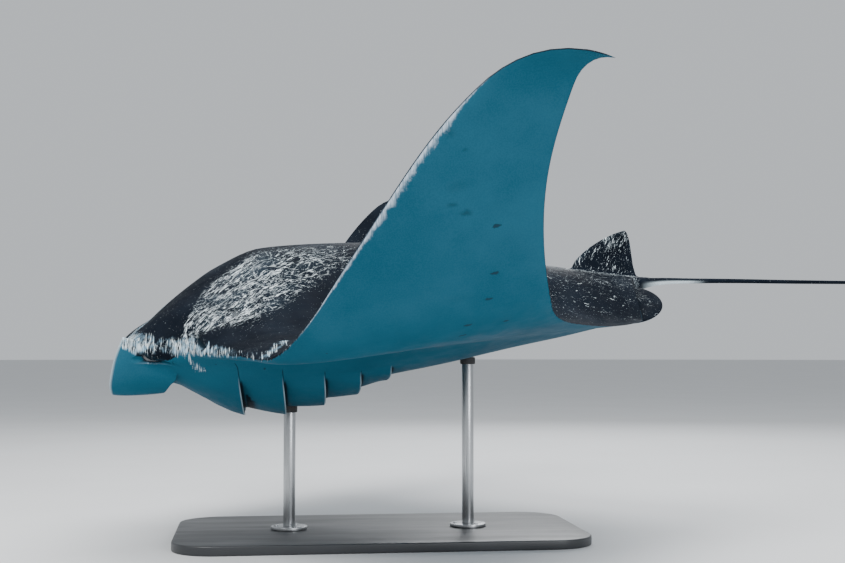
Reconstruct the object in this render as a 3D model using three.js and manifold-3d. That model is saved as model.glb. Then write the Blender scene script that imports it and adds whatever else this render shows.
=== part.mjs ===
// A life-size reef manta ray model on a display stand.
//
// Millimetres, +Z up.  The head points to -Y and the left wing to +X.  The animal is shaped in its
// own frame, with Y measured rearward from the front edge of the head and Z up from its mid sheet,
// and is then pitched nose down over the stand.  The origin is the centre of the stand's underside.

import * as THREE from 'three';
import { mergeVertices } from 'three/addons/utils/BufferGeometryUtils.js';
import Module from 'manifold-3d';

const wasm = await Module();
wasm.setup();

// ---- driving dimensions, mm and degrees --------------------------------------------------------

const HALF_SPAN = 1600; // half of the disc's width, measured along the wing
const NOSE_DOWN = 7.85; // pitch of the whole animal
const HEAD_HEIGHT = 474; // from the floor up to the front edge of the head's mid sheet
const STAND_Y = 760; // body station that stands over the centre of the base
const GAP = 0.3; // clearance between neighbouring solids
const GROWTH_REACH = 500; // a neighbour that is cut away grows by twice the gap at this distance

// Outline of the disc seen from above: [distance from the midline, distance from the front]
const LEADING = [[0, 35], [200, 42], [300, 78], [355, 160], [400, 235], [480, 265], [640, 365],
  [800, 451], [1120, 645], [1440, 922], [1600, 1155]];
const TRAILING = [[0, 1560], [100, 1500], [320, 1450], [480, 1312], [640, 1181], [800, 1098],
  [1120, 1050], [1440, 1110], [1600, 1193]];

// Raised wing: slope of its mid sheet, and its twist about a spanwise line at TWIST_Y
const BEND = [[0, 0], [350, -3.5], [512, -3.5], [640, 0.9], [768, 14.3], [896, 36.5], [1056, 48.5],
  [1216, 58.8], [1408, 59.5], [1600, 16]];
const TWIST = [[480, 0], [640, 0.6], [800, 3.4], [1200, 1.9], [1600, -27.7]];
const TWIST_Y = 960;

// Height of the mid sheet at the leading and trailing edges, over the bent sheet
const MID_LEADING = [[0, 58], [200, 50], [300, 42], [400, 37], [560, 35], [640, 30], [800, 19], [960, 0]];
const MID_TRAILING = [[0, 50], [150, 15], [300, -47], [400, -45], [480, -36], [640, -10], [800, 0]];
const WING_HALF_THICKNESS = [[0, 20], [350, 38], [600, 38], [900, 26], [1200, 16], [1600, 4]];

// Back and belly on the midline: [distance from the front, height], and how far out they reach
const BACK = [[35, 95], [121, 114], [169, 148], [246, 198], [322, 238], [460, 277], [710, 262],
  [1000, 205], [1276, 132], [1560, 62]];
const BELLY = [[150, -20], [200, -38], [260, -86], [350, -129], [480, -144], [660, -124], [750, -97],
  [880, -92], [1120, -78], [1330, -68], [1450, -45], [1560, 30]];
const BACK_REACH = [[50, 1000], [150, 800], [300, 640], [500, 600], [800, 560], [1200, 460], [1500, 300]];
const BELLY_REACH = [[150, 500], [300, 450], [500, 460], [800, 500], [1200, 420], [1500, 250]];
const EDGE_ROUND = 85; // radius of the head's rounded edge
const EDGE_REACH = 900; // that edge runs this far from the midline

const MOUTH_HALF_WIDTH = 235;
const MOUTH_DROP = 68; // how far the lower lip hangs below the upper one
const JAW_SETBACK = 115; // how far the lower lip lies behind the upper one
const THROAT_Y = 285; // rear end of the mouth's hollow

const GILL_EDGES = [353, 465, 573, 668, 750]; // stations of the five free edges
const GILL_INNER = 95; // the gill flaps lie between these distances from the midline
const GILL_OUTER = 375;
const GILL_LIFT = [22, 22, 18, 16, 14]; // how far each free edge stands off the belly
const GILL_POCKET = 24; // how deep the gap behind a flap runs forward
const GILL_THICK = 5;
const GILL_PITCH = 12; // the next flap grows out of the belly this far behind an edge

const HEAD_CUT_Y = 300; // the head ends here
const TRUNK_CUT_Y = 820; // the front and rear of the trunk meet here
const JAW_CUT_Z = -8; // the lower jaw lies below this height
const GILL_CUT_Z = -45; // and the gill flaps below this one
const TRUNK_HALF_WIDTH = 420; // the wings start here
const WING_CUTS = [800, 1200]; // and are divided here
const TAIL_START = 1545;
const TAIL_CUTS = [1800, 2150, 2500];
const TAIL_END = 2880;

const EYE = { x: 331, y: 147, z: 32, radii: [30, 36, 25] };

// ---- small mathematics -------------------------------------------------------------------------

const radians = THREE.MathUtils.degToRad;
const clamp = THREE.MathUtils.clamp;

function smoothstep(low, high, value) {
  return THREE.MathUtils.smoothstep(value, low, high);
}

function range(from, to, steps) {
  return Array.from({ length: steps + 1 }, (unused, i) => from + ((to - from) * i) / steps);
}

// A smooth curve through [x, y] points that never overshoots between them
function curveThrough(points) {
  const last = points.length - 1;
  const widths = [];
  const rises = [];
  for (let i = 0; i < last; i += 1) {
    widths.push(points[i + 1][0] - points[i][0]);
    rises.push((points[i + 1][1] - points[i][1]) / widths[i]);
  }
  const slopes = points.map((point, i) => {
    if (i === 0) return rises[0];
    if (i === last) return rises[last - 1];
    if (rises[i - 1] * rises[i] <= 0) return 0;
    const before = 2 * widths[i] + widths[i - 1];
    const after = widths[i] + 2 * widths[i - 1];
    return (before + after) / (before / rises[i - 1] + after / rises[i]);
  });
  return (x) => {
    if (x <= points[0][0]) return points[0][1];
    if (x >= points[last][0]) return points[last][1];
    let i = 0;
    while (x > points[i + 1][0]) i += 1;
    const t = (x - points[i][0]) / widths[i];
    const ease = (1 + 2 * t) * (1 - t) ** 2 * points[i][1] + t * t * (3 - 2 * t) * points[i + 1][1];
    const lean = t * (1 - t) ** 2 * slopes[i] + t * t * (t - 1) * slopes[i + 1];
    return ease + lean * widths[i];
  };
}

const leading = curveThrough(LEADING);
const trailing = curveThrough(TRAILING);
const bend = curveThrough(BEND);
const twist = curveThrough(TWIST);
const midLeading = curveThrough(MID_LEADING);
const midTrailing = curveThrough(MID_TRAILING);
const wingHalfThickness = curveThrough(WING_HALF_THICKNESS);
const back = curveThrough(BACK);
const belly = curveThrough(BELLY);
const backReach = curveThrough(BACK_REACH);
const bellyReach = curveThrough(BELLY_REACH);

// ---- the animal's surface ----------------------------------------------------------------------

// The bent mid sheet seen from the front, as running sums along the wing
const SHEET_STEPS = 800;
const sheet = [new THREE.Vector2(0, 0)];
for (let i = 0; i < SHEET_STEPS; i += 1) {
  const slope = radians(bend((HALF_SPAN * (i + 0.5)) / SHEET_STEPS));
  const stride = HALF_SPAN / SHEET_STEPS;
  const previous = sheet[i];
  const step = new THREE.Vector2(Math.cos(slope), Math.sin(slope)).multiplyScalar(stride);
  sheet.push(step.add(previous));
}

// From the flat pattern (span, y, height over the sheet) to the raised wing
function place(span, y, height) {
  const out = Math.abs(span);
  const at = clamp((out / HALF_SPAN) * SHEET_STEPS, 0, SHEET_STEPS - 1e-6);
  const foot = sheet[Math.floor(at)].clone().lerp(sheet[Math.floor(at) + 1], at % 1);
  const slope = radians(bend(out));
  const turn = radians(twist(out));
  const reach = y - TWIST_Y;
  const lift = height * Math.cos(turn) + reach * Math.sin(turn);
  const x = foot.x - Math.sin(slope) * lift;
  return new THREE.Vector3(
    Math.sign(span) * x,
    TWIST_Y + reach * Math.cos(turn),
    foot.y + Math.cos(slope) * lift,
  );
}

// Openness of the mouth: 1 on the midline, 0 at its corners and beyond
function mouthOpen(out) {
  return Math.sqrt(Math.max(0, 1 - (out / MOUTH_HALF_WIDTH) ** 2));
}

function lowerLip(out) {
  return leading(out) + JAW_SETBACK * mouthOpen(out);
}

// Distance in from an outline of the head, and the round edge that follows from it
const EDGE_STEPS = 60;

function outlinePoints(outline) {
  return range(0, EDGE_REACH, EDGE_STEPS).map((out) => new THREE.Vector2(out, outline(out)));
}
const upperOutline = outlinePoints(leading);
const lowerOutline = outlinePoints(lowerLip);

function edgeRound(outline, out, y) {
  let nearest = EDGE_ROUND;
  const here = new THREE.Vector2(out, y);
  for (let i = 0; i + 1 < outline.length; i += 1) {
    const side = outline[i + 1].clone().sub(outline[i]);
    const along = clamp(here.clone().sub(outline[i]).dot(side) / side.lengthSq(), 0, 1);
    nearest = Math.min(nearest, here.distanceTo(outline[i].clone().addScaledVector(side, along)));
  }
  return Math.sqrt(1 - (1 - nearest / EDGE_ROUND) ** 2);
}

function chordFraction(out, y) {
  return clamp((y - leading(out)) / (trailing(out) - leading(out)), 0, 1);
}

// Height of the mid sheet's own curve from edge to edge
function midHeight(out, y) {
  const x = chordFraction(out, y);
  return midLeading(out) * (1 - x) ** 1.5 + midTrailing(out) * x ** 1.5;
}

function wingThickness(out, y) {
  const x = chordFraction(out, y);
  return wingHalfThickness(out) * 2.35 * Math.sqrt(x) * (1 - x) ** 1.15 * (1 - 0.25 * x);
}

function topHeight(out, y) {
  const middle = midHeight(out, y);
  const across = (1 - clamp(out / backReach(y), 0, 1) ** 2) ** 2.3;
  const dome = Math.max(0, back(y) - middle) * across * edgeRound(upperOutline, out, y);
  return middle + wingThickness(out, y) + dome;
}

function bottomHeight(out, y) {
  const middle = midHeight(out, y);
  const lip = middle - MOUTH_DROP * mouthOpen(out) * (1 - smoothstep(60, 200, y - lowerLip(out)));
  const across = (1 - clamp(out / bellyReach(y), 0, 1) ** 3) ** 1.5;
  const full = middle - Math.max(0, middle - belly(y)) * across;
  const round = edgeRound(lowerOutline, out, y);
  return lip + (Math.min(full, lip) - lip) * round - 0.9 * wingThickness(out, y);
}

// ---- ribs: closed sections across the animal, as [y, height] in the flat pattern ---------------

const TOP_STEPS = 13;
const LIP_STEPS = [40, 12]; // behind the lower lip, where the belly rounds into it
const LAST_EDGE = GILL_EDGES.length - 1;
const REAR_FRACTIONS = [0.97, 0.85, 0.6, 0.3]; // of the belly between the last flap and the rear edge
const MOUTH_POINTS = 7;
const WING_STEPS = 10;

function cosineFractions(steps) {
  return Array.from({ length: steps + 1 }, (unused, i) => (1 - Math.cos((Math.PI * i) / steps)) / 2);
}

function topPoints(out, steps) {
  const front = leading(out);
  const chord = trailing(out) - front;
  return cosineFractions(steps).map((x) => [front + chord * x, topHeight(out, front + chord * x)]);
}

// How much of a gill flap there is at a distance from the midline
function gillShare(out) {
  const inner = smoothstep(GILL_INNER - 40, GILL_INNER + 30, out);
  const outer = smoothstep(GILL_OUTER - 45, GILL_OUTER, out);
  return inner * (1 - outer);
}

// The belly from the trailing edge forward to the lower lip, with the five flaps folded out of it
function bellyPoints(out) {
  const points = [];
  const share = gillShare(out);
  const lip = lowerLip(out);
  const rearmost = GILL_EDGES[LAST_EDGE] + 20;
  for (const fraction of REAR_FRACTIONS) {
    const y = rearmost + (trailing(out) - rearmost) * fraction;
    points.push([y, bottomHeight(out, y)]);
  }
  for (let k = LAST_EDGE; k >= 0; k -= 1) {
    const edge = GILL_EDGES[k];
    const before = k > 0 ? GILL_EDGES[k - 1] + GILL_PITCH : lip + LIP_STEPS[0];
    const lift = GILL_LIFT[k] * share;
    const rise = (y) => bottomHeight(out, y) - lift * clamp((y - before) / (edge - before), 0, 1);
    const pocket = GILL_POCKET * share;
    const thick = GILL_THICK * share;
    points.push([edge + 8, bottomHeight(out, edge + 8)]);
    points.push([edge + 4 - pocket, bottomHeight(out, edge) - 1.5 * share]);
    points.push([edge - 2 * share, rise(edge) + thick]);
    points.push([edge - 3, rise(edge - 3)]);
    points.push([(before + edge) / 2, rise((before + edge) / 2)]);
  }
  for (const step of LIP_STEPS) points.push([lip + step, bottomHeight(out, lip + step)]);
  return points;
}

// The hollow of the mouth: floor rearward to the throat, then palate forward; nothing at its corners
function mouthPoints(out) {
  const open = mouthOpen(out);
  const front = leading(out);
  const upper = midHeight(out, front);
  const lip = lowerLip(out);
  const lower = bottomHeight(out, lip);
  if (open < 0.02) return Array(MOUTH_POINTS).fill([front, upper]);
  const throat = THROAT_Y;
  const middle = (upper + lower) / 2;
  return [
    [lip, lower],
    [lip + 6 * open, lower + 12 * open],
    [lip + (throat - lip) * 0.5 * open, lower + (middle - lower) * 0.35],
    [lip + (throat - lip) * open, middle - 8 * open],
    [front + (throat - front) * open, middle + 8 * open],
    [front + (throat - front) * 0.5 * open, upper - (upper - middle) * 0.3],
    [front + 14 * open, upper - 8 * open],
  ];
}

// A plain rib of the wing, with no flaps and no mouth
function wingRib(out) {
  const top = topPoints(out, WING_STEPS);
  const under = top.slice(1, -1).reverse();
  return [...top, ...under.map(([y]) => [y, bottomHeight(out, y)])];
}

function bodyRib(out) {
  return [...topPoints(out, TOP_STEPS), ...bellyPoints(out), ...mouthPoints(out)];
}

// ---- solids ------------------------------------------------------------------------------------

// Closed mesh through rings of equally many points, with a flat lid on each end ring
function loft(rings, lids) {
  const count = rings[0].length;
  const corners = [];
  for (const ring of rings) for (const point of ring) corners.push(point.x, point.y, point.z);
  const faces = [];
  for (let i = 0; i + 1 < rings.length; i += 1) {
    for (let j = 0; j < count; j += 1) {
      const next = (j + 1) % count;
      const here = i * count;
      const there = here + count;
      faces.push(here + j, there + j, here + next);
      faces.push(here + next, there + j, there + next);
    }
  }
  lids.forEach((shape, end) => {
    const start = end * (rings.length - 1) * count;
    const turn = Math.sign(THREE.ShapeUtils.area(shape)) * (end === 0 ? 1 : -1);
    for (const triangle of THREE.ShapeUtils.triangulateShape(shape, [])) {
      const same = Math.sign(THREE.ShapeUtils.area(triangle.map((i) => shape[i]))) === turn;
      const [a, b, c] = same ? triangle : [...triangle].reverse();
      faces.push(start + a, start + b, start + c);
    }
  });
  const geometry = new THREE.BufferGeometry();
  geometry.setAttribute('position', new THREE.Float32BufferAttribute(corners, 3));
  geometry.setIndex(faces);
  return geometry;
}

function manifoldOf(corners, faces) {
  return new wasm.Manifold(new wasm.Mesh({
    numProp: 3,
    vertProperties: new Float32Array(corners),
    triVerts: new Uint32Array(faces.flat()),
  }));
}

// Closed solid of a geometry, whichever way round its faces are wound
function toSolid(geometry) {
  const bare = geometry.clone();
  bare.deleteAttribute('normal');
  bare.deleteAttribute('uv');
  const merged = mergeVertices(bare, 1e-3);
  const corners = merged.attributes.position.array;
  const index = merged.index.array;
  const faces = [];
  for (let i = 0; i < index.length; i += 3) {
    const [a, b, c] = index.slice(i, i + 3);
    if (a !== b && b !== c && c !== a) faces.push([a, b, c]);
  }
  const solid = manifoldOf(corners, faces);
  if (solid.volume() > 0) return solid;
  return manifoldOf(corners, faces.map(([a, b, c]) => [a, c, b]));
}

function toGeometry(solid) {
  const mesh = solid.getMesh();
  const geometry = new THREE.BufferGeometry();
  geometry.setAttribute('position', new THREE.BufferAttribute(mesh.vertProperties, 3));
  geometry.setIndex(new THREE.BufferAttribute(mesh.triVerts, 1));
  geometry.computeVertexNormals();
  return geometry;
}

function block(low, high) {
  const size = high.map((value, i) => value - low[i]);
  const geometry = new THREE.BoxGeometry(...size);
  geometry.translate(...low.map((value, i) => value + size[i] / 2));
  return toSolid(geometry);
}

// Take a neighbour away from a solid, grown about a point deep inside it so that a gap is left
function clearOf(solid, neighbour, inside) {
  const growth = 1 + (2 * GAP) / GROWTH_REACH;
  const back = inside.map((value) => -value);
  return solid.subtract(neighbour.translate(back).scale(growth).translate(inside));
}

// Solid of the flat pattern between two distances from the midline
function ribbedSolid(stations, rib) {
  const patterns = stations.map((span) => rib(Math.abs(span)));
  const rings = patterns.map((pattern, i) => pattern.map(([y, height]) => place(stations[i], y, height)));
  const lids = [patterns[0], patterns[patterns.length - 1]]
    .map((pattern) => pattern.map(([y, height]) => new THREE.Vector2(y, height)));
  return toSolid(loft(rings, lids));
}

// A fin through sections of { fore, rear, half, normal }: its edges, half its thickness and its face
const FIN_FRACTIONS = [0, 0.12, 0.4, 0.75, 1];
const FIN_RIM = 0.12; // thickness of a fin's edge, as a share of its fullest thickness

function finSolid(sections) {
  const fullness = (x) => Math.sqrt(x) * (1 - x) * 1.9 + FIN_RIM * Math.sin(Math.PI * x);
  const outline = FIN_FRACTIONS.map((x) => [x, fullness(x)]);
  const ring = [...outline, ...outline.slice(1, -1).reverse().map(([x, t]) => [x, -t])];
  const lid = ring.map(([x, t]) => new THREE.Vector2(x, t));
  const rings = sections.map(({ fore, rear, half, normal }) => ring
    .map(([x, t]) => fore.clone().lerp(rear, x).addScaledVector(normal, t * half)));
  return toSolid(loft(rings, [lid, lid]));
}

// ---- head, trunk and gills ---------------------------------------------------------------------

const BODY_STATIONS = [0, 60, 120, 170, 205, 228, 236, 270, 300, 325, 345, 360, 380, 400,
  TRUNK_HALF_WIDTH];

function mirrored(stations) {
  return [...stations.slice(1).map((out) => -out).reverse(), ...stations];
}

const FAR = 3000; // beyond the animal on every side
const HALF_GAP = GAP / 2;
const body = ribbedSolid(mirrored(BODY_STATIONS), bodyRib);

function ellipsoid({ x, y, z, radii }, side, grow) {
  const ball = new THREE.SphereGeometry(1, 14, 8);
  ball.scale(...radii.map((radius) => radius + grow));
  ball.translate(side * x, y, z);
  return toSolid(ball);
}

// Half spaces, half a gap clear of a cut
const ahead = (y) => block([-FAR, -FAR, -FAR], [FAR, y - HALF_GAP, FAR]);
const behind = (y) => block([-FAR, y + HALF_GAP, -FAR], [FAR, FAR, FAR]);
const above = (z) => block([-FAR, -FAR, z + HALF_GAP], [FAR, FAR, FAR]);
const below = (z) => block([-FAR, -FAR, -FAR], [FAR, FAR, z - HALF_GAP]);
const leftHalf = block([HALF_GAP, -FAR, -FAR], [FAR, FAR, FAR]);
const rightHalf = block([-FAR, -FAR, -FAR], [-HALF_GAP, FAR, FAR]);

const SIDES = [['left', 1], ['right', -1]];
const solids = {};

const [leftSocket, rightSocket] = SIDES.map(([, side]) => ellipsoid(EYE, side, GAP));
const front = body.intersect(ahead(HEAD_CUT_Y)).subtract(leftSocket).subtract(rightSocket);
solids.head = front.intersect(above(JAW_CUT_Z));
solids.lower_jaw = front.intersect(below(JAW_CUT_Z));
for (const [name, side] of SIDES) solids[`eye_${name}`] = ellipsoid(EYE, side, 0);

const middle = body.intersect(behind(HEAD_CUT_Y)).intersect(ahead(TRUNK_CUT_Y));
const gills = middle.intersect(below(GILL_CUT_Z));
solids.trunk_front = middle.intersect(above(GILL_CUT_Z));
solids.gills_left = gills.intersect(leftHalf);
solids.gills_right = gills.intersect(rightHalf);
solids.trunk_rear = body.intersect(behind(TRUNK_CUT_Y)).intersect(ahead(TAIL_START));

// ---- wings -------------------------------------------------------------------------------------

const WING_PANELS = [['inner', 6], ['middle', 6], ['outer', 9]]; // name, and steps along it
const wingEnds = [TRUNK_HALF_WIDTH, ...WING_CUTS, HALF_SPAN];
for (const [name, side] of SIDES) {
  WING_PANELS.forEach(([panel, steps], i) => {
    const stations = range(wingEnds[i] + GAP, wingEnds[i + 1], steps).map((out) => side * out);
    solids[`pectoral_fin_${name}_${panel}`] = ribbedSolid(stations, wingRib);
  });
}

// ---- tail --------------------------------------------------------------------------------------

// Centre line and half sizes of the tail: [station, height, half width, half height]
const tailHeight = curveThrough([[1500, 38], [1560, 48], [1611, 46], [1740, 31], [2050, -13],
  [TAIL_END, -130]]);
const tailHalfWidth = curveThrough([[1500, 62], [1545, 32], [1600, 15], [1700, 9], [2000, 6],
  [TAIL_END, 3]]);
const tailHalfHeight = curveThrough([[1500, 40], [1545, 24], [1600, 12], [1700, 8], [2000, 6],
  [TAIL_END, 3]]);
const TAIL_SIDES = 10;

function tailRing(y) {
  return Array.from({ length: TAIL_SIDES }, (unused, i) => {
    const angle = (2 * Math.PI * i) / TAIL_SIDES;
    const x = tailHalfWidth(y) * Math.cos(angle);
    return new THREE.Vector3(x, y, tailHeight(y) + tailHalfHeight(y) * Math.sin(angle));
  });
}

const tailEnds = [TAIL_START, ...TAIL_CUTS, TAIL_END];
const TAIL_LENGTHS = [['tail_base', 8], ['tail_front', 4], ['tail_middle', 4], ['tail_tip', 4]];
TAIL_LENGTHS.forEach(([name, steps], i) => {
  const rings = range(tailEnds[i] + HALF_GAP, tailEnds[i + 1] - HALF_GAP, steps).map(tailRing);
  const lids = [rings[0], rings[steps]].map((ring) => ring.map((p) => new THREE.Vector2(p.x, p.z)));
  solids[name] = toSolid(loft(rings, lids));
});

// ---- dorsal, pelvic and cephalic fins ----------------------------------------------------------

const SIDEWAYS = new THREE.Vector3(1, 0, 0);
const dorsalFront = curveThrough([[0, 1340], [0.3, 1362], [0.6, 1405], [0.8, 1450], [0.92, 1488],
  [1, 1524]]);
const dorsalRear = curveThrough([[0, 1552], [0.3, 1541], [0.7, 1541], [1, 1536]]);
const DORSAL_BASE = [100, 62]; // heights of the fin's root at its front and rear
const DORSAL_TIP = [211, 209]; // and of its tip
const DORSAL_SECTIONS = 6;
const lerp = THREE.MathUtils.lerp;

const dorsalSections = range(0, 1, DORSAL_SECTIONS).map((up) => ({
  fore: new THREE.Vector3(0, dorsalFront(up), lerp(DORSAL_BASE[0], DORSAL_TIP[0], up)),
  rear: new THREE.Vector3(0, dorsalRear(up), lerp(DORSAL_BASE[1], DORSAL_TIP[1], up)),
  half: lerp(11, 3, up),
  normal: SIDEWAYS,
}));
const dorsalFin = clearOf(finSolid(dorsalSections), body, [0, 1450, -400]);
solids.dorsal_fin = clearOf(dorsalFin, solids.tail_base, [0, 2000, -400]);

const PELVIC = { x: 146, y: 1458, z: -8, radii: [101, 106, 9], droop: 33 };

for (const [name, side] of SIDES) {
  const lobe = new THREE.SphereGeometry(1, 18, 6);
  lobe.scale(...PELVIC.radii);
  lobe.rotateY(side * radians(PELVIC.droop));
  lobe.translate(side * PELVIC.x, PELVIC.y, PELVIC.z);
  const loose = clearOf(toSolid(lobe), body, [0, 900, 300]);
  solids[`pelvic_fin_${name}`] = clearOf(loose, solids.tail_base, [0, 2000, 300]);
}

// Each cephalic fin hangs from the corner of the head and curls in under the mouth
const CEPHALIC_OUT = 338; // its root's distance from the midline
const CEPHALIC_TOP = 60; // its root's height
const CEPHALIC_DROP = 62; // it hangs straight this far
const CEPHALIC_CURL = 62; // then turns inwards on this radius
const CEPHALIC_TIP = 110; // and runs level this far
const CEPHALIC_RAISED = 16; // the right one is held this much higher where it runs level
const CEPHALIC_SECTIONS = 10;
const CEPHALIC_TILT = 0.4; // its front edge stands higher than its rear one
const cephalicFront = curveThrough([[0, 72], [0.2, 45], [0.45, 20], [0.6, 19], [0.85, 45], [1, 88]]);
const cephalicRear = curveThrough([[0, 204], [0.24, 197], [0.38, 172], [0.6, 150], [0.85, 134], [1, 112]]);

function cephalicSection(down, side) {
  const travel = down * (CEPHALIC_DROP + (Math.PI / 2) * CEPHALIC_CURL + CEPHALIC_TIP);
  const drop = Math.min(travel, CEPHALIC_DROP);
  const turn = clamp((travel - CEPHALIC_DROP) / CEPHALIC_CURL, 0, Math.PI / 2);
  const tip = Math.max(0, travel - CEPHALIC_DROP - (Math.PI / 2) * CEPHALIC_CURL);
  const x = side * (CEPHALIC_OUT - CEPHALIC_CURL * (1 - Math.cos(turn)) - tip);
  const raised = side < 0 ? CEPHALIC_RAISED * Math.sin(turn) : 0;
  const z = CEPHALIC_TOP - drop - CEPHALIC_CURL * Math.sin(turn) + raised;
  const tilt = CEPHALIC_TILT * (1 - 0.7 * Math.sin(turn));
  const [y0, y1] = [cephalicFront(down), cephalicRear(down)];
  const rise = (tilt * (y1 - y0)) / 2;
  return {
    fore: new THREE.Vector3(x, y0, z + rise),
    rear: new THREE.Vector3(x, y1, z - rise),
    half: 5 + 11 * (1 - down) ** 3,
    normal: new THREE.Vector3(side * Math.cos(turn), 0, -Math.sin(turn)),
  };
}

for (const [name, side] of SIDES) {
  const sections = range(0, 1, CEPHALIC_SECTIONS).map((down) => cephalicSection(down, side));
  solids[`cephalic_fin_${name}`] = clearOf(finSolid(sections), body, [0, 700, 200])
    .subtract(ellipsoid(EYE, side, GAP));
}

// ---- the scene graph ---------------------------------------------------------------------------

const MATERIALS = {
  skin: { color: 0x2a3038, roughness: 0.55, metalness: 0 },
  belly: { color: 0x9fb6bd, roughness: 0.5, metalness: 0 },
  eye: { color: 0x0b0d10, roughness: 0.15, metalness: 0 },
  base: { color: 0x2c2e31, roughness: 0.45, metalness: 0.2 },
  steel: { color: 0xb8bcc0, roughness: 0.3, metalness: 1 },
};

function materialOf(name) {
  if (name.startsWith('eye')) return MATERIALS.eye;
  if (/^(gills|cephalic|lower_jaw)/.test(name)) return MATERIALS.belly;
  return MATERIALS.skin;
}

function named(name, geometry, material) {
  const mesh = new THREE.Mesh(geometry, new THREE.MeshStandardMaterial(material));
  mesh.name = name;
  return mesh;
}

const animal = new THREE.Group();
for (const [name, solid] of Object.entries(solids)) {
  animal.add(named(name, toGeometry(solid), materialOf(name)));
}
animal.rotation.x = radians(NOSE_DOWN);
const rearward = -STAND_Y * Math.cos(animal.rotation.x);
animal.position.set(0, rearward, HEAD_HEIGHT);
animal.updateMatrixWorld(true);

const manta = new THREE.Group();
manta.add(animal);

// ---- display stand -----------------------------------------------------------------------------

const BASE = { length: 1150, width: 620, thick: 26, corner: 120, bevel: 4 };
const RODS = [['front', 480], ['rear', 1010]]; // body stations that the two rods hold
const ROD_RADIUS = 17;
const FLANGE = { radius: 52, thick: 9 };
const ROUND_SIDES = 20;

function baseGeometry({ length, width, thick, corner, bevel }) {
  const [x, y] = [width / 2 - bevel, length / 2 - bevel];
  const outline = new THREE.Shape();
  outline.moveTo(-x + corner, -y);
  outline.lineTo(x - corner, -y);
  outline.absarc(x - corner, -y + corner, corner, -Math.PI / 2, 0);
  outline.lineTo(x, y - corner);
  outline.absarc(x - corner, y - corner, corner, 0, Math.PI / 2);
  outline.lineTo(-x + corner, y);
  outline.absarc(-x + corner, y - corner, corner, Math.PI / 2, Math.PI);
  outline.lineTo(-x, -y + corner);
  outline.absarc(-x + corner, -y + corner, corner, Math.PI, Math.PI * 1.5);
  const geometry = new THREE.ExtrudeGeometry(outline, {
    depth: thick - 2 * bevel,
    bevelEnabled: true,
    bevelThickness: bevel,
    bevelSize: bevel,
    bevelSegments: 1,
    curveSegments: 6,
  });
  geometry.translate(0, 0, bevel);
  return geometry;
}

function upright(radius, height, x, y, z) {
  const geometry = new THREE.CylinderGeometry(radius, radius, height, ROUND_SIDES);
  geometry.rotateX(Math.PI / 2);
  geometry.translate(x, y, z + height / 2);
  return geometry;
}

manta.add(named('stand_base', baseGeometry(BASE), MATERIALS.base));

const standing = toGeometry(body).applyMatrix4(animal.matrixWorld);
standing.translate(0, 0, -GAP);
const bodyOverRods = toSolid(standing);

for (const [name, station] of RODS) {
  const touch = new THREE.Vector3(0, station, bottomHeight(0, station)).applyMatrix4(animal.matrixWorld);
  const foot = BASE.thick + GAP;
  const flange = upright(FLANGE.radius, FLANGE.thick, 0, touch.y, foot);
  const bottom = foot + FLANGE.thick + GAP;
  const rod = upright(ROD_RADIUS, touch.z + ROD_RADIUS - bottom, 0, touch.y, bottom);
  manta.add(named(`stand_flange_${name}`, flange, MATERIALS.steel));
  manta.add(named(`stand_rod_${name}`, toGeometry(toSolid(rod).subtract(bodyOverRods)), MATERIALS.steel));
}

export default manta;
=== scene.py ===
import math

import bmesh
import bpy
import numpy as np
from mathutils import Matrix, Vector
from mathutils.kdtree import KDTree


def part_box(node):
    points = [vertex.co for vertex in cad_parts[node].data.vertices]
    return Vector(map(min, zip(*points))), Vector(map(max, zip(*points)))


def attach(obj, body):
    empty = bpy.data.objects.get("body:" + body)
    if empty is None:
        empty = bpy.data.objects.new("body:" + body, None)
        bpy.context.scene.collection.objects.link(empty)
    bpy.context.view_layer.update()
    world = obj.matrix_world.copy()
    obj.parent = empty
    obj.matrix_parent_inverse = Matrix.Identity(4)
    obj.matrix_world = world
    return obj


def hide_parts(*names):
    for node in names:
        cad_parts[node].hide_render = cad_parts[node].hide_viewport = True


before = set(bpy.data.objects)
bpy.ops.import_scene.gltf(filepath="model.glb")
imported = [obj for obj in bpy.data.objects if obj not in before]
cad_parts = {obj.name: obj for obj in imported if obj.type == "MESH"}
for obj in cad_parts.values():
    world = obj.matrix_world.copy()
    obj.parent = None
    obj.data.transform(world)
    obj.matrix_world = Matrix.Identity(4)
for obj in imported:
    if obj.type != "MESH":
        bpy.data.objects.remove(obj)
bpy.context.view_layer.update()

bl_info = {
    "name": "Manta ray model",
    "version": (1, 0, 0),
    "blender": (4, 5, 0),
    "location": "View3D > Sidebar > Manta",
    "description": "A life-size reef manta ray on a display stand",
    "category": "Object",
}

# ---- Sums used throughout


def curve(points):
    """A smooth curve through (x, y) points that never overshoots between them."""
    xs, ys = np.array(points, float).T
    widths = np.diff(xs)
    rises = np.diff(ys) / widths
    slopes = np.zeros(len(xs))
    slopes[0], slopes[-1] = rises[0], rises[-1]
    for i in range(1, len(xs) - 1):
        if rises[i - 1] * rises[i] > 0:
            before = 2 * widths[i] + widths[i - 1]
            after = widths[i] + 2 * widths[i - 1]
            slopes[i] = (before + after) / (before / rises[i - 1] + after / rises[i])

    def at(x):
        x = np.clip(x, xs[0], xs[-1])
        i = np.clip(np.searchsorted(xs, x, side="right") - 1, 0, len(widths) - 1)
        t = (x - xs[i]) / widths[i]
        ease = (1 + 2 * t) * (1 - t) ** 2 * ys[i] + t * t * (3 - 2 * t) * ys[i + 1]
        lean = t * (1 - t) ** 2 * slopes[i] + t * t * (t - 1) * slopes[i + 1]
        return ease + lean * widths[i]

    return at


def smoothstep(none, full, value):
    """0 at none and beyond it, 1 at full, and an S between; full may be the lower of the two."""
    t = np.clip((value - none) / (full - none), 0, 1)
    return t * t * (3 - 2 * t)


def bell(value, centre, width):
    return np.exp(-((value - centre) / width) ** 2)


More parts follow.
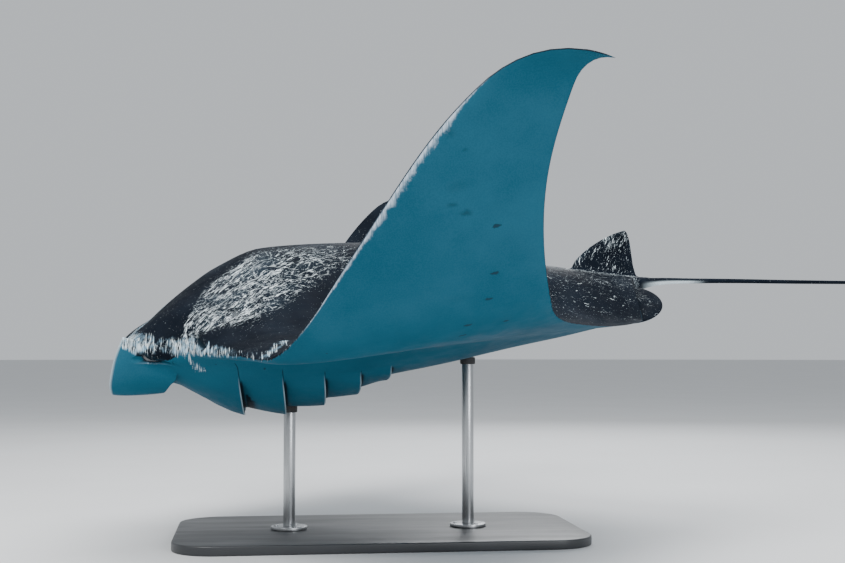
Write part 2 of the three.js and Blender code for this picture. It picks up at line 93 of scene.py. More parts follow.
def rounded(past, most=1.0):
    """Falls from 1 as a quarter circle while past goes from 0 to most."""
    return np.sqrt(1 - np.clip(past, 0, most) ** 2)


def stack(*columns):
    """Columns of coordinates as one array of points."""
    return np.stack(np.broadcast_arrays(*columns), axis=-1)


def value_at(points, x):
    return np.interp(x, *zip(*points))


def polyline_distance(x, y, points):
    nearest = np.full(np.shape(x), np.inf)
    for (x0, y0), (x1, y1) in zip(points[:-1], points[1:]):
        dx, dy = x1 - x0, y1 - y0
        t = np.clip(((x - x0) * dx + (y - y0) * dy) / (dx * dx + dy * dy), 0, 1)
        nearest = np.minimum(nearest, np.hypot(x - x0 - t * dx, y - y0 - t * dy))
    return nearest


def smooth_path(pairs, steps):
    """A path of that many points through a few (station, height) pairs, for every rib at once."""
    points = np.stack([stack(*pair) for pair in pairs], axis=-2)
    before = 2 * points[..., :1, :] - points[..., 1:2, :]
    after = 2 * points[..., -1:, :] - points[..., -2:-1, :]
    guides = np.concatenate([before, points, after], axis=-2)
    at = np.linspace(0, len(pairs) - 1, steps)
    i = np.minimum(at.astype(int), len(pairs) - 2)
    t = (at - i)[:, None]
    p0, p1, p2, p3 = (guides[..., i + k, :] for k in range(4))
    return 0.5 * (2 * p1 + (p2 - p0) * t + (2 * p0 - 5 * p1 + 4 * p2 - p3) * t ** 2
                  + (3 * p1 - p0 - 3 * p2 + p3) * t ** 3)


# ---- The animal's own shape
# Millimetres and degrees in the flat pattern: span out from the midline, station back from the
# front of the head, height over the mid sheet.  place() raises the pattern into the posed animal.

HALF_SPAN = 1600
NOSE_DOWN = 7.85
HEAD_HEIGHT = 474
STAND_STATION = 760
TWIST_STATION = 960
EDGE_ROUND = 85
HEAD_SPANS = np.arange(0, 901, 6.0)  # where the head's outline is followed
MOUTH_HALF_WIDTH = 235
MOUTH_DROP = 68
LIP_REACH = (200, 60)  # the lower lip's drop dies away between these distances behind it
JAW_SETBACK = 115
THROAT_STATION = 285
THROAT_HALF_HEIGHT = 8
UPPER_LIP_ROUND = (14, 8)  # back, down
LOWER_LIP_ROUND = (6, 12)  # back, up

# By span: outline, bend and twist of the mid sheet, its height at both edges, and the wing's thickness
leading = curve([(0, 35), (200, 42), (300, 78), (355, 160), (400, 235), (480, 265), (640, 365),
                 (800, 451), (1120, 645), (1440, 922), (1600, 1155)])
trailing = curve([(0, 1560), (100, 1500), (320, 1450), (480, 1312), (640, 1181), (800, 1098),
                  (1120, 1050), (1440, 1110), (1600, 1193)])
bend = curve([(0, 0), (350, -3.5), (512, -3.5), (640, 0.9), (768, 14.3), (896, 36.5), (1056, 48.5),
              (1216, 58.8), (1408, 59.5), (1600, 16)])
twist = curve([(480, 0), (640, 0.6), (800, 3.4), (1200, 1.9), (1600, -27.7)])
mid_leading = curve([(0, 58), (200, 50), (300, 42), (400, 37), (560, 35), (640, 30), (800, 19), (960, 0)])
mid_trailing = curve([(0, 50), (150, 15), (300, -47), (400, -45), (480, -36), (640, -10), (800, 0)])
wing_half_thickness = curve([(0, 20), (350, 38), (600, 38), (900, 26), (1200, 16), (1600, 4)])

# By station: height of the back's and the belly's ridges, and how far out their domes reach
back_line = curve([(35, 95), (121, 114), (169, 148), (246, 198), (322, 238), (460, 277), (710, 262),
                   (1000, 205), (1276, 132), (1560, 62)])
belly_line = curve([(150, -20), (200, -38), (260, -86), (350, -129), (480, -144), (660, -124), (750, -97),
                    (880, -92), (1120, -78), (1330, -68), (1450, -45), (1560, 30)])
back_reach = curve([(50, 1000), (150, 800), (300, 640), (500, 600), (800, 560), (1200, 460), (1500, 300)])
belly_reach = curve([(150, 500), (300, 450), (500, 460), (800, 500), (1200, 420), (1500, 250)])

# The bent mid sheet seen from the front, as running sums along the wing
SHEET_STEPS = 800
SHEET_OUT = np.linspace(0, HALF_SPAN, SHEET_STEPS + 1)
SHEET_SLOPE = np.radians(bend((SHEET_OUT[:-1] + SHEET_OUT[1:]) / 2))
SHEET_X, SHEET_Z = (np.concatenate([[0], np.cumsum(part(SHEET_SLOPE))]) * HALF_SPAN / SHEET_STEPS
                    for part in (np.cos, np.sin))


def pitched(x, y, z):
    """From the animal's own frame to the stand's, in metres."""
    pitch = math.radians(NOSE_DOWN)
    rear = y * math.cos(pitch) - z * math.sin(pitch) - STAND_STATION * math.cos(pitch)
    up = y * math.sin(pitch) + z * math.cos(pitch) + HEAD_HEIGHT
    return stack(x, rear, up) / 1000


def place(span, station, height):
    """From the flat pattern to the posed animal over its stand, in metres."""
    out = np.abs(span)
    slope = np.radians(bend(out))
    turn = np.radians(twist(out))
    reach = station - TWIST_STATION
    lift = height * np.cos(turn) + reach * np.sin(turn)
    x = np.interp(out, SHEET_OUT, SHEET_X) - np.sin(slope) * lift
    z = np.interp(out, SHEET_OUT, SHEET_Z) + np.cos(slope) * lift
    return pitched(np.sign(span) * x, TWIST_STATION + reach * np.cos(turn), z)


def mouth_open(out):
    return rounded(out / MOUTH_HALF_WIDTH)


def lower_lip(out):
    return leading(out) + JAW_SETBACK * mouth_open(out)


def edge_round(outline, out, station):
    """0 on an outline of the head, rising to 1 as a quarter circle, EDGE_ROUND in from it."""
    away = polyline_distance(out, station, list(zip(HEAD_SPANS, outline(HEAD_SPANS))))
    return rounded(1 - away / EDGE_ROUND)


def chord_fraction(out, station):
    return np.clip((station - leading(out)) / (trailing(out) - leading(out)), 0, 1)


def mid_height(out, station):
    x = chord_fraction(out, station)
    return mid_leading(out) * (1 - x) ** 1.5 + mid_trailing(out) * x ** 1.5


def wing_thickness(out, station):
    """Half the wing's thickness: a wing section, fullest at about 0.3 of its chord."""
    x = chord_fraction(out, station)
    return wing_half_thickness(out) * 2.35 * np.sqrt(x) * (1 - x) ** 1.15 * (1 - 0.25 * x)


def top_height(out, station):
    middle = mid_height(out, station)
    across = (1 - np.clip(out / back_reach(station), 0, 1) ** 2) ** 2.3
    dome = np.maximum(0, back_line(station) - middle) * across
    return middle + wing_thickness(out, station) + dome * edge_round(leading, out, station)


def bottom_height(out, station):
    middle = mid_height(out, station)
    lip = middle - MOUTH_DROP * mouth_open(out) * smoothstep(*LIP_REACH, station - lower_lip(out))
    across = (1 - np.clip(out / belly_reach(station), 0, 1) ** 3) ** 1.5
    full = middle - np.maximum(0, middle - belly_line(station)) * across
    round_in = edge_round(lower_lip, out, station)
    return lip + (np.minimum(full, lip) - lip) * round_in - 0.9 * wing_thickness(out, station)


# ---- Loops round the body, one for each span

TOP_STEPS = 92
FOLD_STEPS = 11
REAR_STEPS = 26
MOUTH_STEPS = 34
LIP_STEPS = (0, 2, 5, 10, 17, 27, 40)
# Stretches of ribs from the midline out, as (from, to, spacing): close together at the head's corners
RIB_STRETCHES = [(0, 216, 12), (216, 226, 5), (226, 236, 2.5), (236, 400, 4.6), (400, 520, 10)]
WING_RIB_SPACING = 21
TIP_RIBS = 8
TIP_ROUND = 22  # the wing tip's outline closes over this last stretch
PLAIN_UNDER = (400, 520)  # between these spans the underside's loops turn from the gills' into even ones

GILL_EDGES = (353, 465, 573, 668, 750)
GILL_LIFTS = (22, 22, 18, 16, 14)
GILL_SHADE_LINE_ENDS = (434, 410, 398, 387, 371)  # each flap's edge runs on as a fine line of painted shade out to here
CREASE_SHADE, CREASE_END = 0.85, 22  # how dark that line of painted shade is, and over what length it ends
GILLS_START, GILLS_STOP = (55, 125), (375, 330)  # by span, where the flaps come free and end
GILL_POCKET = 24
GILL_THICK = 5
FLAP_PARTS = (0.015, 0.06, 0.13, 0.24, 0.42, 0.64, 0.84, 1.0)  # of the way along each flap
FLAP_START = 12  # a flap starts this far behind the edge before it
FLAP_END = 9  # and its even stretch ends this far before its own edge
FLAP_LIP, FLAP_TURN = 5, 3  # its lip begins and turns up this far before its edge
NO_GAP = -1000  # there is no gap before the first flap
BEHIND_GILLS = 20
GAP_SHADE = (24, 8)  # a gap's soft shade dies away between these distances behind a flap's edge
GAP_SHADE_DEPTH = 0.34
MOUTH_SHUT = 0.02  # beyond the corners, where the mouth is less open than this, it has no hollow
WIDE_GAP = 27  # the first gap's full painted shade reaches about this far behind the first flap's edge, low down on the belly, and dwindles away between these spans
WIDE_GAP_OUT = (350, 250)  # and closes between these spans
RIM_START, RIM_PALE = 0.35, 0.6  # how pale the flap is before its free edge, and on it
NEXT_SHADE = 0.42  # how dark the next flap is where it comes out of the gap


def spans_of_ribs():
    """Distances out from the midline of every rib, on both sides."""
    stretches = [*RIB_STRETCHES, (RIB_STRETCHES[-1][1], HALF_SPAN - TIP_ROUND, WING_RIB_SPACING)]
    out = [np.linspace(a, b, round((b - a) / step), endpoint=False) for a, b, step in stretches]
    tip = HALF_SPAN - TIP_ROUND * np.cos(np.linspace(0, 1, TIP_RIBS) * math.pi / 2)
    out = np.concatenate([*out, tip])
    return np.concatenate([-out[:0:-1], out])


def gill_share(out):
    """1 where the gill flaps stand free, 0 inside and outside of them."""
    return smoothstep(*GILLS_START, out) * smoothstep(*GILLS_STOP, out)


def belly_loop(out):
    """Belly from the lower lip to the trailing edge: station, height, the gill gaps' painted shade (pocket)
    and rim shares.
    """
    lip, rear = lower_lip(out), trailing(out)
    share = gill_share(out)
    pocket = GILL_POCKET * share
    columns = [], [], [], []

    def put(station, height, shade=0.0, rim=0.0):
        for column, value in zip(columns, (station, height, shade, rim * share)):
            column.append(value + 0 * out)

    for step in LIP_STEPS:
        put(lip + step, bottom_height(out, lip + step))
    for k, (edge, lift) in enumerate(zip(GILL_EDGES, GILL_LIFTS)):
        previous = GILL_EDGES[k - 1] if k else NO_GAP
        before = previous + FLAP_START if k else lip + LIP_STEPS[-1]
        wide = WIDE_GAP * smoothstep(*WIDE_GAP_OUT, out) if k == 1 else 0 * out

        def flap(station):
            part = np.clip((station - before) / (edge - before), 0, 1)
            return bottom_height(out, station) - lift * share * part

        def shadow(station):
            behind = station - previous
            soft = GAP_SHADE_DEPTH * smoothstep(*GAP_SHADE, behind - wide)
            return share * np.maximum(soft, smoothstep(wide + 1, wide - 5, behind))

        for part in FLAP_PARTS:
            station = before + (edge - FLAP_END - before) * part
            put(station, flap(station), shadow(station))
        put(edge - FLAP_LIP, flap(edge - FLAP_LIP))
        put(edge - FLAP_TURN, flap(edge - FLAP_TURN), rim=RIM_START)
        # Round the free edge, forward into the pocket, and out again onto the next flap
        inner = edge + 4 - pocket
        roof = bottom_height(out, edge) - 1.5 * share
        path = smooth_path([
            (edge - FLAP_TURN, flap(edge - FLAP_TURN)),
            (edge - 0.6, flap(edge) + GILL_THICK * 0.3 * share),
            (edge - 2 * share, flap(edge) + GILL_THICK * share),
            ((edge + inner) / 2, (flap(edge) + roof) / 2 + 5 * share),
            (inner, roof),
            (edge + 5 - 0.35 * pocket, bottom_height(out, edge + 3) - 0.6 * share),
            (edge + 8, bottom_height(out, edge + 8)),
        ], FOLD_STEPS + 1)[..., 1:, :]
        crease_line_shade = smoothstep(GILL_SHADE_LINE_ENDS[k], GILL_SHADE_LINE_ENDS[k] - CREASE_END, out)
        crease_line_shade = CREASE_SHADE * crease_line_shade * smoothstep(*GILLS_START, out)
        # Painted shade inside the fold behind each free edge, and on the next flap where it comes out of the
        # gap
        for step in range(FOLD_STEPS):
            deep = min(1, max(0, (step - 1) / 2)) * share
            if 1 <= step <= 3:
                deep = np.maximum(deep, crease_line_shade)
            if step == FOLD_STEPS - 1:
                deep = NEXT_SHADE * share
            put(path[..., step, 0], path[..., step, 1], deep, max(0, RIM_PALE - step / 2))
    last = GILL_EDGES[-1] + BEHIND_GILLS
    for step in range(REAR_STEPS + 1):
        station = last + (rear - last) * math.sin(0.5 * math.pi * step / REAR_STEPS)
        put(station, bottom_height(out, station))
    return [np.stack(column, -1) for column in columns]


def mouth_loop(out):
    """The hollow of the mouth, from the upper lip in to the throat and out to the lower lip."""
    opened = mouth_open(out)
    front, lip = leading(out), lower_lip(out)
    upper = mid_height(out, front)
    lower = bottom_height(out, lip)
    middle = (upper + lower) / 2
    path = smooth_path([
        (front, upper),
        (front + UPPER_LIP_ROUND[0] * opened, upper - UPPER_LIP_ROUND[1] * opened),
        (front + (THROAT_STATION - front) * 0.5 * opened, upper - (upper - middle) * 0.3),
        (front + (THROAT_STATION - front) * opened, middle + THROAT_HALF_HEIGHT * opened),
        (lip + (THROAT_STATION - lip) * opened, middle - THROAT_HALF_HEIGHT * opened),
        (lip + (THROAT_STATION - lip) * 0.5 * opened, lower + (middle - lower) * 0.35),
        (lip + LOWER_LIP_ROUND[0] * opened, lower + LOWER_LIP_ROUND[1] * opened),
        (lip, lower),
    ], MOUTH_STEPS + 1)[..., 1:-1, :]
    shut = (opened < MOUTH_SHUT)[:, None]
    return np.where(shut, front[:, None], path[..., 0]), np.where(shut, upper[:, None], path[..., 1])


def body_pattern(spans):
    """Every rib's loop, from the trailing edge over the back, through the mouth and under."""
    out = np.abs(spans)
    front, rear = leading(out)[:, None], trailing(out)[:, None]
    top = front + (rear - front) * (1 + np.cos(np.linspace(0, math.pi, TOP_STEPS + 1))) / 2
    mouth, mouth_z = mouth_loop(out)
    under, under_z, pocket, rim = belly_loop(out)
    plain = front + (rear - front) * (1 - np.cos(np.linspace(0, math.pi, under.shape[1]))) / 2
    blend = smoothstep(*PLAIN_UNDER, out)[:, None]
    spread = under + (plain - under) * blend
    under_z = np.where(blend > 0, bottom_height(out[:, None], spread), under_z)
    station = np.concatenate([top, mouth, spread], axis=1)
    height = np.concatenate([top_height(out[:, None], top), mouth_z, under_z], axis=1)
    middle = (front + rear) / 2
    share = rounded((out - (HALF_SPAN - TIP_ROUND)) / TIP_ROUND, 0.998)[:, None]
    station = middle + (station - middle) * share
    flat = mid_height(out[:, None], station)
    return station, flat + (height - flat) * share, top.shape[1], mouth.shape[1], pocket, rim


# ---- Meshes

LIP_PALE = 40  # the lower lip is as pale as the belly this far in from an edge

# Masks on the mesh's points for the hide's colours: edge and lead are distances in metres from the
# nearest edge and from the leading edge, negative underneath; the rest run from 0 to 1, and pocket is
# the painted shade of the gill gaps, the eyelids' slit and the spiracles
MASKS = ("edge", "lead", "throat", "pocket", "rim", "fin", "tail")
FAR_FROM_LEAD = 0.5  # metres; fins and tail that have no leading edge of their own


def grid_of(bm, places, patterns, **masks):
    """A sheet of the given grid of places, with its masks and its flat pattern, in mm, on its points."""
    floats, vectors = bm.verts.layers.float, bm.verts.layers.float_vector
    for name in (*MASKS, "kept"):
        floats.get(name) or floats.new(name)
    vectors.get("pattern") or vectors.new("pattern")
    columns, rows = places.shape[:2]
    made = bmesh.ops.create_grid(bm, x_segments=columns - 1, y_segments=rows - 1, size=1)
    given = [(floats[name], np.broadcast_to(values, (columns, rows))) for name, values in masks.items()]
    for vert in made["verts"]:
        i = round((vert.co.x + 1) / 2 * (columns - 1))
        j = round((vert.co.y + 1) / 2 * (rows - 1))
        for layer, values in given:
            vert[layer] = values[i, j]
        vert[vectors["pattern"]] = Vector(patterns[i, j] / 1000)
        vert[floats["kept"]] = 1
        vert.co = places[i, j]


def turn_outward(bm):
    bmesh.ops.recalc_face_normals(bm, faces=bm.faces[:])
    if bm.calc_volume(signed=True) < 0:
        bmesh.ops.reverse_faces(bm, faces=bm.faces[:])


def finish_mesh(bm):
    """Closes a sheet into a solid."""
    bmesh.ops.remove_doubles(bm, verts=bm.verts[:], dist=1e-6)
    bmesh.ops.dissolve_degenerate(bm, edges=bm.edges[:], dist=1e-7)
    rims = [edge for edge in bm.edges if edge.is_boundary]
    if rims:
        bmesh.ops.holes_fill(bm, edges=rims, sides=0)
    bmesh.ops.triangulate(bm, faces=[face for face in bm.faces if len(face.verts) > 4])
    turn_outward(bm)


def mesh_from(bm, name):
    mesh = bpy.data.meshes.new(name)
    bm.to_mesh(mesh)
    bm.free()
    mesh.shade_smooth()
    piece = bpy.data.objects.new(name, mesh)
    bpy.context.scene.collection.objects.link(piece)
    return piece


def body_mesh():
    """Head, trunk, gill flaps and both wings as one closed surface."""
    spans = spans_of_ribs()
    station, height, tops, mouths, pocket, rim = body_pattern(spans)
    steps = np.hypot(np.diff(station, axis=1), np.diff(height, axis=1))
    arcs = np.concatenate([np.zeros((len(station), 1)), np.cumsum(steps, axis=1)], axis=1)
    lip = tops + mouths
    opened = mouth_open(np.abs(spans))[:, None]
    lead = np.concatenate([
        arcs[:, tops - 1:tops] - arcs[:, :tops],
        -np.minimum(arcs[:, tops:lip] - arcs[:, tops - 1:tops], LIP_PALE),
        arcs[:, lip:lip + 1] - arcs[:, lip:] - LIP_PALE * smoothstep(0, 0.3, opened),
    ], axis=1)
    trail = np.concatenate([arcs[:, :tops], arcs[:, tops:] - arcs[:, -1:]], axis=1)
    throat = np.zeros_like(station)
    inside = (station[:, tops:lip] - leading(np.abs(spans))[:, None]) / THROAT_STATION
    throat[:, tops:lip] = np.clip(inside, 0, 1)
    before_lip = ((0, 0), (lip, 0))
    grid_span = spans[:, None]
    bm = bmesh.new()
    grid_of(bm, place(grid_span, station, height), stack(grid_span, station, height),
            edge=np.sign(lead) * np.minimum(np.abs(lead), np.abs(trail)) / 1000, lead=lead / 1000,
            throat=throat, pocket=np.pad(pocket, before_lip), rim=np.pad(rim, before_lip))
    finish_mesh(bm)
    return mesh_from(bm, "manta_hide")


# ---- Fins and tail

SIDES = (("left", 1), ("right", -1))
BLADE_STEPS = 44
BLADE_CLOSING = 0.94  # a fin's sections close from this share of its length on
BACK_PAINT, BELLY_PAINT = 1, -1

# The cephalic fin hangs straight, curls in and runs level; its edges go by share of its length
CEPHALIC_OUT = 338
CEPHALIC_TOP = 60
CEPHALIC_DROP = 62
CEPHALIC_CURL = 62
CEPHALIC_TIP = 110
CEPHALIC_TILT = 0.4
CEPHALIC_UNTILT = 0.7  # of the tilt is gone where it runs level
CEPHALIC_HALVES = (5, 16)  # half thickness at the tip and at the root
CEPHALIC_RINGS = 52
CEPHALIC_RAISED = 16  # the right one is held this much higher where it runs level
cephalic_front = curve([(0, 72), (0.2, 45), (0.45, 20), (0.6, 19), (0.85, 45), (1, 88)])
cephalic_rear = curve([(0, 204), (0.24, 197), (0.38, 172), (0.6, 150), (0.85, 134), (1, 112)])

DORSAL_ROOT = (100, 62)  # height of the root's front and rear
DORSAL_TOP = 211
DORSAL_TOP_FALL = 2  # the top's rear is this much lower
DORSAL_HALVES = (11, 3)  # half thickness at the root and at the top
DORSAL_RINGS = 34
dorsal_front = curve([(0, 1340), (0.3, 1362), (0.6, 1405), (0.8, 1450), (0.92, 1488), (1, 1524)])
dorsal_rear = curve([(0, 1552), (0.3, 1541), (0.7, 1541), (1, 1536)])

PELVIC_CENTRE = (146, 1458, -8)
PELVIC_RADII = (101, 106, 9)
PELVIC_DROOP = 33
PELVIC_POINTS = (65, 25)  # round it, and from its underside to its top

TAIL_ROOT, TAIL_END = 1510, 2879
TAIL_ROUND = 6
TAIL_COARSER = 1640  # the tail's rings are close together up to here
TAIL_RINGS = (30, 110, 6)  # up to there, on to the rounded end, and round it
TAIL_POINTS = 23
tail_height = curve([(1500, 38), (1560, 48), (1611, 46), (1740, 31), (2050, -13), (2880, -130)])
tail_half_width = curve([(1500, 62), (1545, 32), (1600, 15), (1700, 9), (2000, 6), (2880, 3)])
tail_half_height = curve([(1500, 40), (1545, 24), (1600, 12), (1700, 8), (2000, 6), (2880, 3)])


def own_grid(bm, points, **masks):
    """A sheet of points in the animal's own frame, in millimetres."""
    grid_of(bm, pitched(*np.moveaxis(points, -1, 0)), points, **masks)


def blade(bm, fronts, rears, halves, normals, along, fin, paint):
    """A fin through sections given by their edges, half thickness and thickness direction; paint is
    BACK_PAINT or BELLY_PAINT, and fin the mask that tells the fins apart."""
    turn = np.linspace(0, 2 * math.pi, BLADE_STEPS + 1)
    x = (1 - np.cos(turn)) / 2
    thick = (np.sqrt(x) * (1 - x) * 1.9 + 0.26 * np.sqrt(x * (1 - x))) * np.where(turn < math.pi, 1, -1)
    close = rounded((along - BLADE_CLOSING) / (1 - BLADE_CLOSING), 0.995)[:, None]
    chord = (rears - fronts) * close
    middle = (fronts + rears) / 2
    fronts = middle + (fronts - middle) * close
    points = fronts[:, None, :] + chord[:, None, :] * x[None, :, None]
    points = points + normals[:, None, :] * (thick * halves[:, None] * close)[..., None]
    width = np.linalg.norm(chord, axis=1)[:, None]
    own_grid(bm, points, edge=width * np.minimum(x, 1 - x) * paint / 1000, lead=width * x / 1000, fin=fin)


def cephalic_fin(bm, side):
    """Hangs from the corner of the head and curls in under the mouth."""
    down = np.linspace(0, 1, CEPHALIC_RINGS)
    travel = down * (CEPHALIC_DROP + math.pi / 2 * CEPHALIC_CURL + CEPHALIC_TIP)
    turn = np.clip((travel - CEPHALIC_DROP) / CEPHALIC_CURL, 0, math.pi / 2)
    tip = np.maximum(0, travel - CEPHALIC_DROP - math.pi / 2 * CEPHALIC_CURL)
    x = side * (CEPHALIC_OUT - CEPHALIC_CURL * (1 - np.cos(turn)) - tip)
    raised = CEPHALIC_RAISED * (side < 0)
    z = CEPHALIC_TOP - np.minimum(travel, CEPHALIC_DROP) - (CEPHALIC_CURL - raised) * np.sin(turn)
    front, rear = cephalic_front(down), cephalic_rear(down)
    lean = CEPHALIC_TILT * (1 - CEPHALIC_UNTILT * np.sin(turn)) * (rear - front) / 2
    normals = stack(side * np.cos(turn), 0, -np.sin(turn))
    halves = CEPHALIC_HALVES[0] + (CEPHALIC_HALVES[1] - CEPHALIC_HALVES[0]) * (1 - down) ** 3
    blade(bm, stack(x, front, z + lean), stack(x, rear, z - lean), halves, normals, down, fin=1,
          paint=BELLY_PAINT)


def dorsal_fin(bm):
    up = np.linspace(0, 1, DORSAL_RINGS)
    fronts = stack(0, dorsal_front(up), DORSAL_ROOT[0] + (DORSAL_TOP - DORSAL_ROOT[0]) * up)
    rears = stack(0, dorsal_rear(up), DORSAL_ROOT[1] + (DORSAL_TOP - DORSAL_TOP_FALL - DORSAL_ROOT[1]) * up)
    halves = DORSAL_HALVES[0] + (DORSAL_HALVES[1] - DORSAL_HALVES[0]) * up
    blade(bm, fronts, rears, halves, stack(1 + 0 * up, 0, 0), up, fin=0.5, paint=BACK_PAINT)


def pelvic_fin(bm, side):
    """A drooping lobe beside the tail's root."""
    around = np.linspace(0, 2 * math.pi, PELVIC_POINTS[0])[None, :]
    height = np.linspace(-math.pi / 2, math.pi / 2, PELVIC_POINTS[1])[:, None]
    x = PELVIC_RADII[0] * np.cos(height) * np.cos(around)
    y = PELVIC_RADII[1] * np.cos(height) * np.sin(around)
    z = PELVIC_RADII[2] * np.sin(height)
    droop = side * math.radians(PELVIC_DROOP)
    across = x * math.cos(droop) + z * math.sin(droop)
    up = z * math.cos(droop) - x * math.sin(droop)
    reach = PELVIC_RADII[0] * (1 - np.cos(height))
    points = stack(side * PELVIC_CENTRE[0] + across, PELVIC_CENTRE[1] + y, PELVIC_CENTRE[2] + up)
    own_grid(bm, points, edge=reach * np.sign(height) / 1000, lead=FAR_FROM_LEAD)


def tail(bm):
    shoulder = TAIL_END - TAIL_ROUND
    rows = np.concatenate([
        np.linspace(TAIL_ROOT, TAIL_COARSER, TAIL_RINGS[0], endpoint=False),
        np.linspace(TAIL_COARSER, shoulder, TAIL_RINGS[1], endpoint=False),
        shoulder + TAIL_ROUND * np.sin(np.linspace(0, 1, TAIL_RINGS[2]) * math.pi / 2),
    ])[:, None]
    close = rounded((rows - shoulder) / TAIL_ROUND, 0.98)
    turn = np.linspace(0, 2 * math.pi, TAIL_POINTS)[None, :]
    x = tail_half_width(rows) * np.cos(turn) * close
    z = tail_height(rows) + tail_half_height(rows) * np.sin(turn) * close
    under = smoothstep(0.15, -0.35, np.sin(turn)) * smoothstep(1760, 1690, rows)
    own_grid(bm, stack(x, rows, z), edge=0.02, lead=FAR_FROM_LEAD, rim=under * smoothstep(1535, 1560, rows),
             tail=smoothstep(1540, 1620, rows))


def solid(name, *makers):
    """One closed mesh from a few (function, arguments...)."""
    bm = bmesh.new()
    for maker, *arguments in makers:
        maker(bm, *arguments)
    finish_mesh(bm)
    return mesh_from(bm, name)


# ---- One skin

SAME_POINT = 1e-6
# Fillets at the fins' roots: metres on either side that are smoothed, and how many times
FILLETS = [(0.022, 5), (0.011, 6)]


def kdtree_of(verts):
    tree = KDTree(len(verts))
    for i, vert in enumerate(verts):
        tree.insert(vert.co, i)
    tree.balance()
    return tree


def united(body, piece):
    """The body and a fin as one closed mesh; each fin point keeps the masks that it had."""
    join = body.modifiers.new("join", "BOOLEAN")
    join.operation = "UNION"
    join.solver = "EXACT"
    join.object = piece
    bpy.context.view_layer.update()
    depsgraph = bpy.context.evaluated_depsgraph_get()
    mesh = bpy.data.meshes.new_from_object(body.evaluated_get(depsgraph))
    body.modifiers.clear()
    from_piece, from_body = kdtree_of(piece.data.vertices), kdtree_of(body.data.vertices)
    found = []
    for vert in mesh.vertices:
        co, source, away = from_piece.find(vert.co)
        if away < SAME_POINT and from_body.find(co)[2] > SAME_POINT:
            found.append((vert.index, source))
    for name in (*MASKS, "kept", "pattern"):
        field = "vector" if name == "pattern" else "value"
        old, new = piece.data.attributes[name].data, mesh.attributes[name].data
        for index, source in found:
            setattr(new[index], field, getattr(old[source], field))
    body.data = mesh
    bpy.data.objects.remove(piece)


def fill_seam_masks(bm):
    """Points that a join made take their masks from the points round them; returns those points."""
    kept = bm.verts.layers.float["kept"]
    layers = [bm.verts.layers.float[name] for name in MASKS] + [bm.verts.layers.float_vector["pattern"]]
    made = [vert for vert in bm.verts if vert[kept] < 0.999]
    waiting = made
    while waiting:
        later = []
        for vert in waiting:
            known = [edge.other_vert(vert) for edge in vert.link_edges]
            known = [other for other in known if other[kept] >= 0.999]
            if not known:
                later.append(vert)
                continue
            for layer in layers:
                total = sum((other[layer] for other in known[1:]), known[0][layer])
                vert[layer] = total / len(known)
        for vert in set(waiting) - set(later):
            vert[kept] = 1
        if len(later) == len(waiting):
            break
        waiting = later
    return made


def soften(bm, verts, reach, rounds):
    """Relaxes the mesh within reach of some points."""
    tree = kdtree_of(verts)
    near = [vert for vert in bm.verts if tree.find(vert.co)[2] < reach]
    for _ in range(rounds):
        bmesh.ops.smooth_vert(bm, verts=near, factor=0.5, use_axis_x=True, use_axis_y=True, use_axis_z=True)


# ---- Eyes and spiracles
# Directions from an eye's centre are (azimuth forward from straight out, elevation), in degrees

EYE_CENTRE = np.array([331.0, 147.0, 32.0])
EYE_RADII = np.array([30.0, 36.0, 25.0])
GAZE = (50, -14)
EYE_MESH = {"u_segments": 64, "v_segments": 40}
CORNEA_WIDTH = 20
# Along the slit between the lids, each with the slit's half width there in degrees
SLIT = [(52, -12, 17), (42, -27, 13), (24, -41, 9), (-2, -49, 7.5), (-30, -46, 6), (-52, -38, 2)]
SLIT_LEVEL = 0.86  # the skin sinks this deep in the slit between the lids, in radii of the eyeball
SLIT_SOFT = 2.2  # degrees on either side of the slit's edge over which it sinks
LID_LEVEL = 1.09  # and the lids lie this far out
LID_SHARPNESS = 7
LID_RIDGE = 0.06  # how far out the ridge along each lid stands,
RIDGE_AT = 3  # and how many degrees from the slit it is highest
LID_REACH = 105  # millimetres from the eye's centre that the lids' bulge can move
LIDS_FACE = (35, -5)
FINE_REACH = 0.062  # metres round each eye where the mesh is made finer
FACE_OUT, FACE_BACK = 460, 420  # the lids move only skin within this far out and this station
SPIRACLE = [(424, 262), (450, 266), (474, 272), (496, 281)]  # span and station along the slit
SPIRACLE_MIDDLE = (460.0, 270.0, 42.0)
SPIRACLE_HALF_WIDTH = 5
SPIRACLE_DEPTH = 7
SPIRACLE_LIP = 1.6
SPIRACLE_FINE_REACH = 0.05


def to_body(places):
    """From the stand's frame in metres back to the animal's own in millimetres."""
    pitch = math.radians(NOSE_DOWN)
    x, y, z = np.moveaxis(places * 1000, -1, 0)
    y = y + STAND_STATION * math.cos(pitch)
    z = z - HEAD_HEIGHT
    return stack(x, y * math.cos(pitch) + z * math.sin(pitch), z * math.cos(pitch) - y * math.sin(pitch))


def direction(azimuth, elevation):
    a, e = np.radians(azimuth), np.radians(elevation)
    return stack(np.cos(e) * np.cos(a), -np.cos(e) * np.sin(a), np.sin(e))


def angles_between(units, axes):
    return np.degrees(np.arccos(np.clip(units @ axes, -1, 1)))


def slit_distance(units):
    """Degrees from each direction to the edge of the slit, negative within it."""
    knots = np.linspace(0, len(SLIT) - 1, 60)
    azimuth, elevation, half = (np.interp(knots, range(len(SLIT)), column) for column in zip(*SLIT))
    return (angles_between(units, direction(azimuth, elevation).T) - half).min(axis=1)


